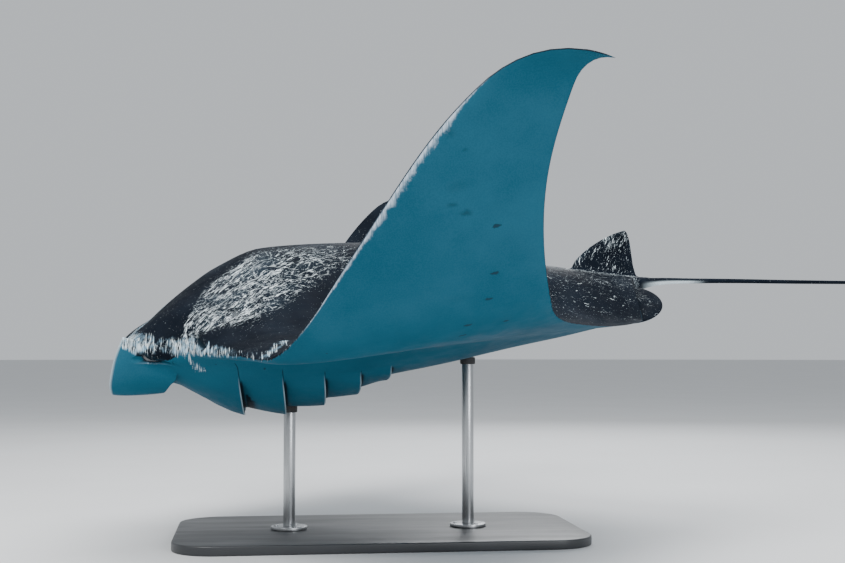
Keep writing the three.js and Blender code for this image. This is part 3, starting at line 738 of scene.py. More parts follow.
def lids(places, side):
    """Skin drawn over the eyeball, with the slit sunk into it; its painted shade, in the slit and under the
    bulge above it, and its lower rim.
    """
    local = to_body(places) * [side, 1, 1] - EYE_CENTRE
    level = np.linalg.norm(local / EYE_RADII, axis=1)
    units = local / EYE_RADII / np.maximum(level, 1e-6)[:, None]
    away = slit_distance(units)
    covered = (level ** LID_SHARPNESS + LID_LEVEL ** LID_SHARPNESS) ** (1 / LID_SHARPNESS)
    ridge = LID_RIDGE * bell(away, RIDGE_AT, 3.5)
    opened = smoothstep(SLIT_SOFT, -SLIT_SOFT, away)
    target = (covered + ridge) * (1 - opened) + np.minimum(level, SLIT_LEVEL) * opened
    share = smoothstep(LID_REACH, LID_REACH * 0.45, np.linalg.norm(local, axis=1))
    share = share * smoothstep(-0.35, 0.15, units @ direction(*LIDS_FACE))
    level_new = level + (target - level) * share
    moved = (EYE_CENTRE + units * level_new[:, None] * EYE_RADII) * [side, 1, 1]
    above = smoothstep(-0.1, 0.25, units[:, 2] + 0.75 + 0.2 * units[:, 1])
    # Painted shade: dark in the slit, and softer above it under the lids' bulge
    shade = np.maximum(smoothstep(4, -3, away), 0.75 * smoothstep(26, 3, away) * above)
    shade = share * shade * smoothstep(1.6, 1.2, level)
    rim = share * bell(away, RIDGE_AT, 1.5) * (1 - above)
    return pitched(*moved.T), shade, rim


def refine(bm, centres, reach, rounds):
    """Splits the faces near some points, so that small folds have mesh to lie in."""
    for _ in range(rounds):
        near = [edge for edge in bm.edges
                if min((edge.verts[0].co - centre).length for centre in centres) < reach]
        bmesh.ops.subdivide_edges(bm, edges=near, cuts=1, use_grid_fill=True)
        bmesh.ops.triangulate(bm, faces=[face for face in bm.faces if len(face.verts) > 4])


def face_details(bm):
    """Lids and spiracles, worked into the finished skin, with painted shade in the spiracles' pits and in and
    above the lids' slit.
    """
    eyes = [Vector(pitched(side * EYE_CENTRE[0], *EYE_CENTRE[1:])) for _, side in SIDES]
    refine(bm, eyes, FINE_REACH, 2)
    spiracles = [Vector(place(side * SPIRACLE_MIDDLE[0], *SPIRACLE_MIDDLE[1:])) for _, side in SIDES]
    refine(bm, spiracles, SPIRACLE_FINE_REACH, 1)
    bm.normal_update()
    verts = bm.verts[:]
    pattern_layer = bm.verts.layers.float_vector["pattern"]
    pocket_layer, rim_layer, edge_layer = (bm.verts.layers.float[name] for name in ("pocket", "rim", "edge"))
    places = np.array([vert.co for vert in verts])
    normals = np.array([vert.normal for vert in verts])
    pattern = np.array([vert[pattern_layer] for vert in verts]) * 1000
    on_top = np.array([vert[edge_layer] for vert in verts]) > 0
    away = polyline_distance(np.abs(pattern[:, 0]), pattern[:, 1], SPIRACLE) / SPIRACLE_HALF_WIDTH
    pit = smoothstep(1.4, 0.2, away) * on_top
    lip = bell(away, 1.9, 0.6) * on_top
    places = places + normals * (lip * SPIRACLE_LIP - pit * SPIRACLE_DEPTH)[:, None] / 1000
    # The spiracles' pits are darkened with painted shade
    shade, rim = pit.copy(), 0 * pit
    for _, side in SIDES:
        moved, dark, pale = lids(places, side)
        near = (np.abs(places[:, 0]) < FACE_OUT / 1000) & (np.sign(places[:, 0]) == side)
        near = near & (pattern[:, 1] < FACE_BACK)
        places = np.where(near[:, None], moved, places)
        shade = np.maximum(shade, np.where(near, dark, 0))
        rim = np.maximum(rim, np.where(near, pale, 0))
    for vert, co, dark, pale in zip(verts, places, shade, rim):
        vert.co = co
        # The painted shade goes into the pocket mask, with the gill gaps' painted shade
        if dark > 0.01:
            vert[pocket_layer] = max(vert[pocket_layer], float(dark))
        if pale > 0.01:
            vert[rim_layer] = max(vert[rim_layer], float(pale) * 0.12)


# ---- Where the markings lie

# Pale shoulder patch: its front edge, how soft that edge is, and its outer edge (span or station, value)
PATCH_FRONT = [(0, 540), (134, 408), (189, 350), (251, 293), (326, 258), (354, 240), (373, 221), (430, 195)]
PATCH_SOFT = [(0, 130), (134, 90), (189, 60), (251, 35), (320, 6), (400, 4)]
PATCH_OUTER = [(230, 410), (265, 440), (310, 465), (361, 462), (425, 444), (479, 408), (535, 360), (594, 310),
               (700, 235), (900, 190)]
PATCH_OUTER_SOFT = (22, -50)
# How thickly the patch's strokes lie along the body, and across it
PATCH_ALONG = [(240, 1.0), (420, 1.0), (520, 0.82), (640, 0.68), (760, 0.44), (900, 0.26), (1200, 0.2)]
PATCH_ACROSS = [(0, 0.18), (90, 0.45), (150, 0.8), (230, 1.0)]
FLECKS_MOST = 0.97
FLECKS_LEAST = 0.14

# Pale lines on the head, each (along, across) in the pattern: the one over the head's front slope, a painted
# highlight of light grazing that slope kept as a pale margin, by station and span; two drips behind the eye,
# by station and height; the streak at the wing's root, by span and depth
HEAD_FRONT_HIGHLIGHT = [(60, 262), (83, 251), (115, 227), (158, 176), (205, 131)]
DRIPS = ([(222, 40), (236, 17), (247, 2), (256, -16)], [(250, 8), (258, -5), (264, -14)])
ROOT_STREAK = [(738, 14), (707, 52), (630, 120)]
FRINGE = [(480, 0.82), (570, 0.68), (640, 0.46), (700, 0.45), (745, 0.55), (790, 0)]  # by span, how white

# Above this line (station, height) the cephalic fin's root is marked as the brow is
CEPHALIC_BROW = [(40, 80), (68, 64), (115, 29), (138, 14), (150, 26), (184, 26)]
BROW_BAND = 20  # the edge of the root's mark is followed this far above and below its line
HEAD_OUT = 300  # eye, cheek and cephalic root lie outside this span
OVER_TAIL = 0.008  # metres inside the edge that the tail's root counts as back


def fleck_mask(out, station, depth):
    """How thickly the back's pale flecks lie; depth is the distance from the leading edge."""
    soft = value_at(PATCH_SOFT, out)
    patch = smoothstep(-soft, soft, station - value_at(PATCH_FRONT, out))
    patch = patch * smoothstep(*PATCH_OUTER_SOFT, out - value_at(PATCH_OUTER, station))
    patch = patch * value_at(PATCH_ALONG, station) * value_at(PATCH_ACROSS, out)
    # Along the rear of the back's ridge the flecks lie thick: painted light where the ridge's top is lit,
    # drawn as flecks
    lit_ridge_flecks = 0.9 * smoothstep(115, 45, out) * smoothstep(1100, 1280, station)
    wing_edge = 0.5 * smoothstep(190, 40, depth) * smoothstep(740, 840, out) * smoothstep(1350, 1200, out)
    rear = 0.24 * smoothstep(900, 1200, station) * smoothstep(420, 300, out)
    crown = 0.08 * smoothstep(330, 250, station) * smoothstep(300, 220, out)
    rest = FLECKS_LEAST + rear + crown
    flecks = rest + (FLECKS_MOST - rest) * np.maximum.reduce([patch, lit_ridge_flecks, wing_edge])
    return np.clip(flecks, 0, 1) * smoothstep(1560, 1525, station)


def white_mask(out, station, height, depth, edge):
    """How white the rim and the head's marks are, with painted highlights on the top of the eye's bulge and
    along the head's front slope.
    """
    marks = [
        0.85 * smoothstep(215, 250, out) * smoothstep(172, 135, station) * smoothstep(112, 50, depth),  # brow
        0.78 * smoothstep(62, 30, np.abs(station - 222)) * smoothstep(82, 28, depth) * (out < 460),  # cheek
        # lids: a painted highlight on the top of the eye's bulge
        0.62 * bell(station, 170, 34) * smoothstep(76, 34, depth) * (out > HEAD_OUT),  # lids
        0.6 * smoothstep(70, 20, depth) * (out <= 260),  # upper lip
        # the head's front slope: a painted highlight of light grazing it, kept as a pale margin
        0.72 * bell(out, value_at(HEAD_FRONT_HIGHLIGHT, station), 28) * smoothstep(225, 170, station),
        0.75 * smoothstep(26, 8, polyline_distance(out, depth, ROOT_STREAK)),
        smoothstep(62, 12, depth) * (out > 380) * value_at(FRINGE, out),
    ]
    white = np.clip(np.maximum.reduce(marks), 0, 1) * smoothstep(-0.02, -0.002, edge)
    for drip in DRIPS:
        line = 0.75 * smoothstep(13, 5, polyline_distance(station, height, drip))
        white = np.maximum(white, line * (out > 330) * (out < 420))
    return white


def keep_masks(mesh):
    """Writes the markings' masks as attributes of the skin."""

    def read(layer, field, width=1):
        values = np.zeros(len(mesh.vertices) * width)
        layer.foreach_get(field, values)
        return values.reshape(-1, width).T if width > 1 else values

    edge, lead, rim, fin, on_tail = (read(mesh.attributes[name].data, "value")
                                     for name in ("edge", "lead", "rim", "fin", "tail"))
    span, station, height = 1000 * read(mesh.attributes["pattern"].data, "vector", 3)
    x, y, z = 1000 * read(mesh.vertices, "co", 3)
    facing_up = read(mesh.vertices, "normal", 3)[2]
    out, depth = np.abs(span), np.abs(lead) * 1000
    flecks = fleck_mask(out, station, depth)
    white = white_mask(out, station, height, depth, edge)

    # Dorsal fin: flecks close together at its tip and along its front edge
    up = (height - DORSAL_ROOT[0]) / (DORSAL_TOP - DORSAL_ROOT[0])
    dorsal = smoothstep(0.15, 0.4, fin) * smoothstep(0.85, 0.6, fin)
    fleck_tip = np.maximum(smoothstep(130, 205, height), 0.8 * smoothstep(34, 6, station - dorsal_front(up)))
    flecks = flecks + (0.56 + 0.44 * fleck_tip - flecks) * dorsal
    flecks = flecks * (1 - on_tail)

    # Cephalic fin: its root is back above the brow's line, and the rest of it belly with a pale front rim
    cephalic = (fin > 0.02) & (out > 250) & (station < 230)
    root = cephalic & (out > HEAD_OUT)
    over_brow = height - value_at(CEPHALIC_BROW, station)
    edge = np.where(root, np.maximum(edge, np.clip(over_brow, -BROW_BAND, BROW_BAND) / 1000), edge)
    edge = np.where(cephalic & (over_brow < -BROW_BAND), np.minimum(edge, (118 - station) / 1000), edge)
    root_white = 0.62 + 0.28 * smoothstep(160, 125, station)
    root_white = root_white * smoothstep(np.where(station > 134, -1, -16), 0, over_brow)
    white = np.where(root, root_white, np.where(fin > 0.25, 0, white))
    front_rim = smoothstep(5, 1.5, lead * 1000) * (fin > 0.6) * cephalic
    edge = np.where(front_rim > 0.2, np.minimum(edge, -0.01), edge)
    rim = np.maximum(rim, 0.6 * front_rim)

    # The back's dark colour comes down a little behind the eye, as painted shade under the eye's bulge, and
    # over the whole root of the tail
    edge = edge + 0.013 * bell(station, 178, 24) * (out > HEAD_OUT) * smoothstep(6, 20, height)
    over_tail = (station > 1380) & (out < 250) & (facing_up > 0.2)
    edge = np.where(over_tail, np.maximum(edge, OVER_TAIL), edge)
    # Painted shade above the eye's slit, under its bulge: the whites there are darkened
    white = white * (1 - 0.9 * bell(station, 163, 26) * bell(height, 31, 12) * (out > HEAD_OUT))

    # Flow of the flecks, across and along, and of the white streaks
    swept = out + 270 * smoothstep(100, 620, station)
    across = swept + (station - 0.45 * height - swept) * dorsal
    along = station + (height - station) * dorsal
    streak = np.abs(x) + (y - np.abs(x)) * smoothstep(200, 300, out)
    new_values = {"flecks": flecks, "white": white, "edge": edge, "rim": rim, "dorsal": dorsal,
                  "flow": stack(across, along, height * (1 - dorsal)) / 1000,
                  "streaks": stack(streak, 0.12 * z, 0) / 1000}
    for name, values in new_values.items():
        kind, field = ("FLOAT_VECTOR", "vector") if values.ndim > 1 else ("FLOAT", "value")
        if name not in mesh.attributes:
            mesh.attributes.new(name, kind, "POINT")
        mesh.attributes[name].data.foreach_set(field, values.astype(np.float32).ravel())
    mesh.attributes.remove(mesh.attributes["kept"])


# ---- Materials


class Value:
    """What a node gives; a sum on it adds the node that does the sum."""

    def __init__(self, finish, socket):
        self.finish, self.socket = finish, socket

    def sum(self, operation, other):
        if self.socket.type == "VALUE":
            return self.finish.math(operation, self, other)
        if isinstance(other, float):
            other = (other,) * 3
        return self.finish.vector(operation, self, other)

    def __add__(self, other):
        return self.sum("ADD", other)

    def __sub__(self, other):
        return self.sum("SUBTRACT", other)

    def __mul__(self, other):
        return self.sum("MULTIPLY", other)

    def __truediv__(self, other):
        return self.sum("DIVIDE", other)


class Finish:
    """A material's nodes, added one at a time; an input is a number, a colour or another node's Value."""

    def __init__(self, name):
        self.material = bpy.data.materials.new(name)
        self.material.use_nodes = True
        self.tree = self.material.node_tree
        self.shader = self.tree.nodes["Principled BSDF"]

    def node(self, kind, inputs=(), output=0, **settings):
        node = self.tree.nodes.new(kind)
        for name, value in settings.items():
            setattr(node, name, value)
        for socket, value in dict(inputs).items():
            self.put(node.inputs[socket], value)
        return Value(self, node.outputs[output])

    def put(self, socket, value):
        if isinstance(value, Value):
            self.tree.links.new(value.socket, socket)
        else:
            socket.default_value = (*value, 1.0) if socket.type == "RGBA" else value

    def set(self, **values):
        for name, value in values.items():
            self.put(self.shader.inputs[name.replace("_", " ")], value)

    def place(self):
        return self.node("ShaderNodeTexCoord", output="Object")

    def attribute(self, name, output="Fac"):
        return self.node("ShaderNodeAttribute", attribute_name=name, output=output)

    def math(self, operation, a, b):
        return self.node("ShaderNodeMath", {0: a, 1: b}, operation=operation)

    def most(self, *values):
        a, *others = values
        for b in others:
            a = self.math("MAXIMUM", a, b)
        return a

    def vector(self, operation, a, b=(0, 0, 0), output=0):
        return self.node("ShaderNodeVectorMath", {0: a, 1: b}, operation=operation, output=output)

    def ramp(self, value, low, high, to_low=0.0, to_high=1.0):
        inputs = {"Value": value, "From Min": low, "From Max": high, "To Min": to_low, "To Max": to_high}
        return self.node("ShaderNodeMapRange", inputs, interpolation_type="SMOOTHSTEP")

    def mix(self, share, a, b):
        return self.node("ShaderNodeMix", {0: share, 6: a, 7: b}, data_type="RGBA", output=2)

    def noise(self, place_, scale=1.0, detail=2.0, rough=0.5, distortion=0.0, output=0):
        inputs = {"Vector": place_, "Scale": scale, "Detail": detail, "Roughness": rough,
                  "Distortion": distortion}
        return self.node("ShaderNodeTexNoise", inputs, output)

    def bump(self, height, distance, strength=1.0, normal=None):
        inputs = {"Height": height, "Distance": distance, "Strength": strength}
        if normal:
            inputs["Normal"] = normal
        return self.node("ShaderNodeBump", inputs)


# Marks to the metre in the hide's patterns; of the drawn-out ones across, along and up
WARP_SCALE, WARP = 9.0, 0.06
STROKE_SCALE = (265.0, 54.0, 54.0)
CLUMP = 0.22  # of the strokes' scale
SPECK_SCALE = 210.0
# The broken network of pale lines on the back: partly a marking, partly painted light of rippling sunlight
NET_AND_RIPPLE_SCALE, NET_AND_RIPPLE_STRETCH, NET_AND_RIPPLE_LINE = 42.0, (1, 0.62, 1), 0.07
CLOUD_SCALE = 7.0
GLOW_SCALE = 16.0
STREAK_SCALE = (300.0, 300.0, 0.0)
COOL_SCALE = 60.0
VEIL_SCALE = 5.0
GRAIN_SCALE = 320.0
WOBBLE_SCALE, WOBBLE = 70.0, 0.014
BAND_SCALE = (38.0, 38.0, 0.0)
ROUGH_SCALE = 24.0
DENTICLE_SCALE = 900.0
FOLD_SCALE = (60.0, 9.0, 20.0)

# Dark spots under both wings: span, station, and how long they are back along the body and out along the wing
SPOTS = [(1122, 944, 20, 9), (996, 941, 21, 9), (918, 929, 21, 10), (804, 982, 17, 7), (832, 887, 24, 10),
         (772, 882, 22, 9), (640, 800, 8, 6), (560, 705, 7, 6), (720, 640, 7, 6), (820, 560, 6, 5),
         (402, 420, 7, 6), (410, 300, 6, 5)]
SPOT_LOOK = (0.85, 0.7, 1.1)  # depth, and where it starts and ends fading, in half sizes
# Softer smudges, each with its depth
SMUDGES = [(1166, 876, 30, 14, 0.55), (1189, 847, 26, 12, 0.45), (1344, 852, 24, 24, 0.3),
           (1306, 880, 14, 8, 0.4), (1230, 860, 60, 30, 0.16), (940, 860, 70, 30, 0.1)]
SMUDGE_FADE = (0.0, 1.4)
BLOTS = [(*spot, *SPOT_LOOK) for spot in SPOTS] + [(*smudge, *SMUDGE_FADE) for smudge in SMUDGES]


def hide_back(f, colours, pattern, mirror):
    """Blue-black back: soft clouds, flecks drawn out along the flow, and a broken network of pale lines,
    partly a marking and partly painted light of rippling sunlight.
    """
    flecks = f.attribute("flecks")
    warp = (f.noise(mirror, WARP_SCALE, output=1) - 0.5) * WARP
    flow = (f.attribute("flow", "Vector") + warp) * STROKE_SCALE
    streak = f.noise(flow, 1.0, 5.0, 0.66, 0.9)
    clump = f.noise(flow * CLUMP, 1.0, 3.0, 0.55, 0.5)
    patchy = (clump - 0.5) * f.ramp(flecks, 0.2, 0.9, -0.15, -0.42)
    strokes = f.ramp(streak - (f.ramp(flecks, 0.0, 1.0, 0.695, 0.562) + patchy), 0.0, 0.055)
    speck = f.noise(pattern, SPECK_SCALE, 3.0, 0.65, 0.3)
    dots = f.ramp(speck - f.ramp(flecks, 0.0, 1.0, 0.67, 0.60), 0.0, 0.07)
    # Pale network: partly a marking, partly painted light of rippling sunlight
    net_and_ripple_light = f.node("ShaderNodeTexVoronoi", {"Vector": (mirror + warp) * NET_AND_RIPPLE_STRETCH, "Scale": NET_AND_RIPPLE_SCALE},
                 feature="DISTANCE_TO_EDGE")
    net_and_ripple_light = f.ramp(net_and_ripple_light, 0.0, NET_AND_RIPPLE_LINE, 1.0, 0.0) * f.ramp(streak, 0.45, 0.6)
    net_and_ripple_light = net_and_ripple_light * f.ramp(flecks, 0.35, 0.8, 0.0, 0.7) * f.math("SUBTRACT", 1.0, f.attribute("dorsal"))
    pale = f.most(strokes, dots * 0.5, net_and_ripple_light)
    dark = f.mix(f.ramp(f.noise(mirror, CLOUD_SCALE, 3.0), 0.35, 0.7), colours.back, colours.back_cloud)
    glow = flecks * f.ramp(f.noise(mirror, GLOW_SCALE, 3.0), 0.4, 0.65, 0.0, 0.14)
    dark = f.mix(glow * f.ramp(flecks, 0.45, 0.95), dark, colours.fleck_shade)
    return f.mix(pale * 0.92, dark, colours.fleck), pale


def hide_band(f, mirror, pattern, lead, fine):
    """Where the bright band lies behind the leading edge, underneath, partly pale skin and partly a painted
    highlight of light on the rounded edge, and the dark rim before it.
    """
    out = f.node("ShaderNodeSeparateXYZ", {0: mirror})
    width = f.ramp(out, 0.93, 1.27, 0.003, 0.024) * f.ramp(out, 1.32, 1.47, 1.0, 0.12)
    width = width * f.ramp(f.noise(pattern * BAND_SCALE, 1.0, 4.0, 0.65), 0.3, 0.7, 0.5, 1.05)
    depth = lead / (width * -1.0)
    band = f.ramp(depth, 0.05, 0.2) * f.ramp(depth, 0.2, 1.3, 1.0, 0.0)
    band = band * (f.ramp(out, 0.86, 0.95) * f.ramp(out, 1.44, 1.52, 1.0, 0.0))
    dark_rim = f.ramp(lead, -0.0045, -0.002) * f.ramp(out, 1.0, 1.12)
    return out, band * f.ramp(fine, 0.38, 0.58, 0.3, 1.0), dark_rim


def hide_spots(f, mirror, pattern):
    """How dark the belly's spots and smudges are."""
    wobbled = mirror + (f.noise(pattern, WOBBLE_SCALE, output=1) - 0.5) * WOBBLE
    marks = 0.0
    for span, station, back, out, depth, inner, outer in BLOTS:
        away = (wobbled - (span / 1000, station / 1000, 0)) * (2000 / out, 2000 / back, 0)
        away = f.vector("LENGTH", away, output=1)
        marks = f.most(marks, f.ramp(away, inner, outer, depth, 0.0))
    return marks


def hide_material(colours):
    """The ray's hide: blue-black flecked back, a white underside painted dark teal with painted shade and the
    blue-green cast of water light, white rims, and gill gaps dark with painted shade.
    """
    f = Finish("manta_hide")
    pattern = f.attribute("pattern", "Vector")
    mirror = f.vector("ABSOLUTE", pattern)
    lead, white, pocket, rim = (f.attribute(name) for name in ("lead", "white", "pocket", "rim"))
    back, pale = hide_back(f, colours, pattern, mirror)

    # White rims and drips, drawn out across the leading edge
    fine = f.noise(f.attribute("streaks", "Vector") * STREAK_SCALE, 1.0, 4.0, 0.62, 0.5)
    whites = f.ramp(fine - f.ramp(white, 0.0, 1.0, 0.74, 0.47), -0.05, 0.1)
    whites = whites * f.ramp(white, 0.02, 0.25, 0.0, 0.95) * f.ramp(pocket, 0.1, 0.7, 1.0, 0.0)
    cool = f.ramp(f.noise(mirror, COOL_SCALE, 3.0), 0.4, 0.62)
    drips = f.mix(cool, colours.rim, colours.rim_cool)
    back = f.mix(f.ramp(white, 0.45, 0.95, 0.0, 0.34) * cool, back, colours.rim_cool)
    back = f.mix(whites, back, drips)

    # Belly: nearly even dark teal, painted shade and the water light's cast on white skin, with faint clouds,
    # spots, smudges and the bright band, which is partly a painted highlight
    veil = f.ramp(f.noise(pattern, VEIL_SCALE, 4.0, 0.6), 0.3, 0.7)
    out, band, dark_rim = hide_band(f, mirror, pattern, lead, fine)
    belly = f.mix(veil, colours.belly, colours.belly_cloud)
    for share, tint in (
        (f.ramp(f.noise(pattern, GRAIN_SCALE), 0.35, 0.65, 0.0, 0.10), colours.belly_grain),
        (hide_spots(f, mirror, pattern), colours.spot),
        # the bright band: partly pale skin, partly a painted highlight of light on the rounded leading edge
        (band * 0.9, colours.band),
        (dark_rim * 0.85, colours.back_cloud),
        (whites * 0.8, drips),
        (rim * 0.8, colours.rim),
        # painted shade in the gill gaps, between the eyelids and in the spiracles' pits
        (f.ramp(pocket, 0.15, 0.8), colours.gap),
        (f.ramp(f.attribute("throat"), 0.05, 0.75), colours.throat),
    ):
        belly = f.mix(share, belly, tint)

    # The back's edge wanders a little over the rim
    wander = f.ramp(out, 0.85, 1.0, 0.014, 0.004) * f.ramp(lead, 0.1, 0.25, 1.0, 0.1)
    wander = wander * f.ramp(pocket, 0.0, 0.4, 1.0, 0.0)
    top = f.ramp(f.attribute("edge") + (fine - 0.42) * wander, -0.0015, 0.0015)
    skin = f.mix(top, belly, back)
    # Painted shade between the eyelids and in the spiracles, over the back's colour too
    skin = f.mix(pocket * top, skin, colours.gap)
    skin = f.mix(f.attribute("tail") * rim, skin, colours.rim)

    rough = f.ramp(f.noise(pattern, ROUGH_SCALE, 3.0), 0.3, 0.7, 0.56, 0.7)
    normal = f.bump(f.noise(pattern * FOLD_SCALE, 1.0, 3.0), 0.0012, 0.5)
    normal = f.bump(pale, 0.0006, 0.35, normal)
    normal = f.bump(f.noise(pattern, DENTICLE_SCALE), 0.0004, 0.35, normal)
    f.set(Base_Color=skin, Roughness=rough, Normal=normal, Specular_IOR_Level=0.03)
    return f.material


# Degrees from the middle of the gaze between which each ring of the eye turns into the next
PUPIL_EDGE, IRIS_EDGE, RING_EDGE = (8.5, 10.0), (15.0, 19.0), (20.0, 26.0)


def eye_material(colours):
    """A dark eye: black pupil, brown-black iris with a paler outer ring, under a clear wet surface."""
    f = Finish("manta_eye")
    rays = f.noise(f.place(), 420.0, 3.0, 0.6)
    wavy = f.attribute("gaze") + (rays - 0.5) * 2.2
    iris = f.mix(f.ramp(rays, 0.35, 0.65), colours.iris, colours.iris_fleck)
    ring = f.mix(f.ramp(wavy, *IRIS_EDGE), iris, colours.ring)
    ball = f.mix(f.ramp(wavy, *RING_EDGE), ring, colours.eyeball)
    skin = f.mix(f.ramp(wavy, *PUPIL_EDGE), colours.pupil, ball)
    f.set(Base_Color=skin, Roughness=f.ramp(rays, 0.3, 0.7, 0.14, 0.24), Normal=f.bump(rays, 0.0003, 0.3),
          Coat_Weight=1.0, Coat_Roughness=0.04)
    return f.material


def board_material(colours):
    """Dark satin lacquer over a solid board, with a faint orange-peel and a few soft clouds."""
    f = Finish("stand_lacquer")
    cloud = f.ramp(f.noise(f.place(), 3.0, 3.0), 0.35, 0.65)
    peel = f.noise(f.place(), 260.0)
    smear = f.noise(f.place() * (14.0, 2.5, 14.0), 1.0, 4.0, 0.6)
    paint = f.mix(cloud, colours.board, colours.board_cloud)
    f.set(Base_Color=paint, Roughness=f.ramp(smear, 0.3, 0.7, 0.34, 0.46), Normal=f.bump(peel, 0.0002, 0.4))
    return f.material


def steel_material(name, colours, brushed):
    """Brushed steel; brushed gives the scale of its scratches along X, Y and Z."""
    f = Finish(name)
    lines = f.noise(f.place() * brushed, 1.0, 4.0, 0.7)
    metal = f.mix(f.ramp(lines, 0.3, 0.7), colours.steel, colours.steel_line)
    f.set(Base_Color=metal, Roughness=f.ramp(lines, 0.3, 0.7, 0.24, 0.4), Normal=f.bump(lines, 0.0001, 0.4),
          Metallic=1.0)
    return f.material


def rubber_material(colours):
    """Matt black rubber with a fine grain."""
    f = Finish("stand_rubber")
    grain = f.noise(f.place(), 500.0, 3.0)
    rubber = f.mix(f.ramp(grain, 0.3, 0.7), colours.rubber, colours.rubber_grain)
    f.set(Base_Color=rubber, Roughness=f.ramp(grain, 0.3, 0.7, 0.6, 0.75), Normal=f.bump(grain, 0.0004, 0.5))
    return f.material


def floor_material(tint):
    """A pale matt floor with barely darker clouds."""
    f = Finish("studio_floor")
    cloud = f.ramp(f.noise(f.place(), 1.5, 3.0), 0.3, 0.7)
    f.set(Base_Color=f.mix(cloud, tint, [0.97 * value for value in tint]), Roughness=0.85)
    return f.material


# ---- Settings


def swatch(name, description, value):
    return bpy.props.FloatVectorProperty(name=name, description=description, default=value, size=3,
                                         min=0, max=1, subtype="COLOR")


def length(name, description, value):
    return bpy.props.FloatProperty(name=name, description=description, default=value, min=0, unit="LENGTH")


def angle(name, description, value):
    return bpy.props.FloatProperty(name=name, description=description, default=value, subtype="ANGLE")


class HideColours(bpy.types.PropertyGroup):
    back: swatch("Back", "Darkest colour of the back", (0.003, 0.005, 0.009))
    back_cloud: swatch("Back, clouds", "Soft lighter clouds in the back's colour", (0.007, 0.011, 0.018))
    fleck: swatch("Flecks", "Pale flecks and lines on the back", (0.74, 0.83, 0.87))
    fleck_shade: swatch("Fleck ground", "Ground between thick flecks on the shoulders", (0.050, 0.085, 0.115))
    rim_cool: swatch("Rims, cool", "Cooler parts of the white rims", (0.30, 0.47, 0.60))
    rim: swatch("Rims", "White rims of the lips, gill flaps and brow", (0.66, 0.76, 0.80))
    # The band's colour: partly pale skin, partly a painted highlight of light on the rounded leading edge
    band: swatch("Band", "Bright band behind the leading edge, underneath", (0.56, 0.64, 0.74))
    # The underside's colours are white skin as it looks in shade under water: their dark teal is painted
    # shade with the blue-green cast of the water's light
    belly: swatch("Belly", "Underside", (0.012, 0.073, 0.117))
    belly_cloud: swatch("Belly, clouds", "Soft paler clouds of the underside", (0.017, 0.090, 0.140))
    belly_grain: swatch("Belly, grain", "Fine pale grain of the underside", (0.05, 0.17, 0.23))
    spot: swatch("Spots", "Dark spots of the underside", (0.012, 0.030, 0.045))
    # Painted shade, for inside the gill gaps, between the eyelids and in the spiracles' pits
    gap: swatch("Gaps", "Inside the gill gaps and between the eyelids", (0.006, 0.014, 0.022))
    throat: swatch("Throat", "Inside the mouth", (0.05, 0.10, 0.12))


class EyeColours(bpy.types.PropertyGroup):
    pupil: swatch("Pupil", "Pupil", (0.003, 0.003, 0.004))
    iris: swatch("Iris", "Iris", (0.012, 0.014, 0.018))
    iris_fleck: swatch("Iris, flecks", "Paler flecks of the iris", (0.035, 0.040, 0.046))
    ring: swatch("Ring", "Paler ring round the iris", (0.06, 0.07, 0.08))
    eyeball: swatch("Eyeball", "Eyeball beside the iris", (0.012, 0.016, 0.022))
    clear_bulge: length("Cornea", "How far the clear front stands out of the eyeball", 0.0018)


class StandSettings(bpy.types.PropertyGroup):
    corner: length("Corner radius", "Radius of the board's corners, seen from above", 0.12)
    bevel: length("Edge bevel", "Bevel round the board's edges", 0.004)
    board: swatch("Board", "Lacquer on the board", (0.022, 0.024, 0.027))
    board_cloud: swatch("Board, clouds", "Soft clouds in the lacquer", (0.030, 0.032, 0.036))
    steel: swatch("Steel", "Brushed steel", (0.52, 0.53, 0.54))
    steel_line: swatch("Steel, lines", "Darker brushed lines", (0.36, 0.37, 0.38))
    rubber: swatch("Rubber", "The collars' rubber", (0.012, 0.012, 0.013))
    rubber_grain: swatch("Rubber, grain", "Paler grain of the rubber", (0.03, 0.03, 0.032))
    screw_ring: length("Screw circle", "Radius of the circle that a flange's screws lie on", 0.037)
    screw: length("Screw head", "Radius of a screw's head", 0.0065)
    collar: length("Collar", "How far the rubber collar stands out round a rod", 0.005)


FRAME_WIDTH, FOCAL_LENGTH = 845, 1307.4  # pixels


class StageSettings(bpy.types.PropertyGroup):
    camera: bpy.props.FloatVectorProperty(name="Camera", description="Where the camera stands", unit="LENGTH",
                                          default=(3.7773, -0.3520, 0.5408), size=3, subtype="TRANSLATION")
    heading: angle("Heading", "Camera's turn from looking straight across", math.radians(7.237))
    rise: angle("Rise", "How far up the camera looks", math.radians(2.923))
    view: angle("View", "Camera's horizontal angle of view", 2 * math.atan(FRAME_WIDTH / 2 / FOCAL_LENGTH))
    floor: swatch("Floor", "Pale floor", (0.62, 0.63, 0.64))
    sky: swatch("Surround", "Pale surround", (0.80, 0.84, 0.88))


# ---- Skin and eyes


def add_material(piece, material):
    piece.data.materials.clear()
    piece.data.materials.append(material)


def riding(piece, material, slot, *nodes):
    """A piece of the model: its finish and the nodes that it stands for; slot, its place in the record, is
    not used.
    """
    add_material(piece, material)
    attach(piece, "root")
    if nodes:
        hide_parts(*nodes)


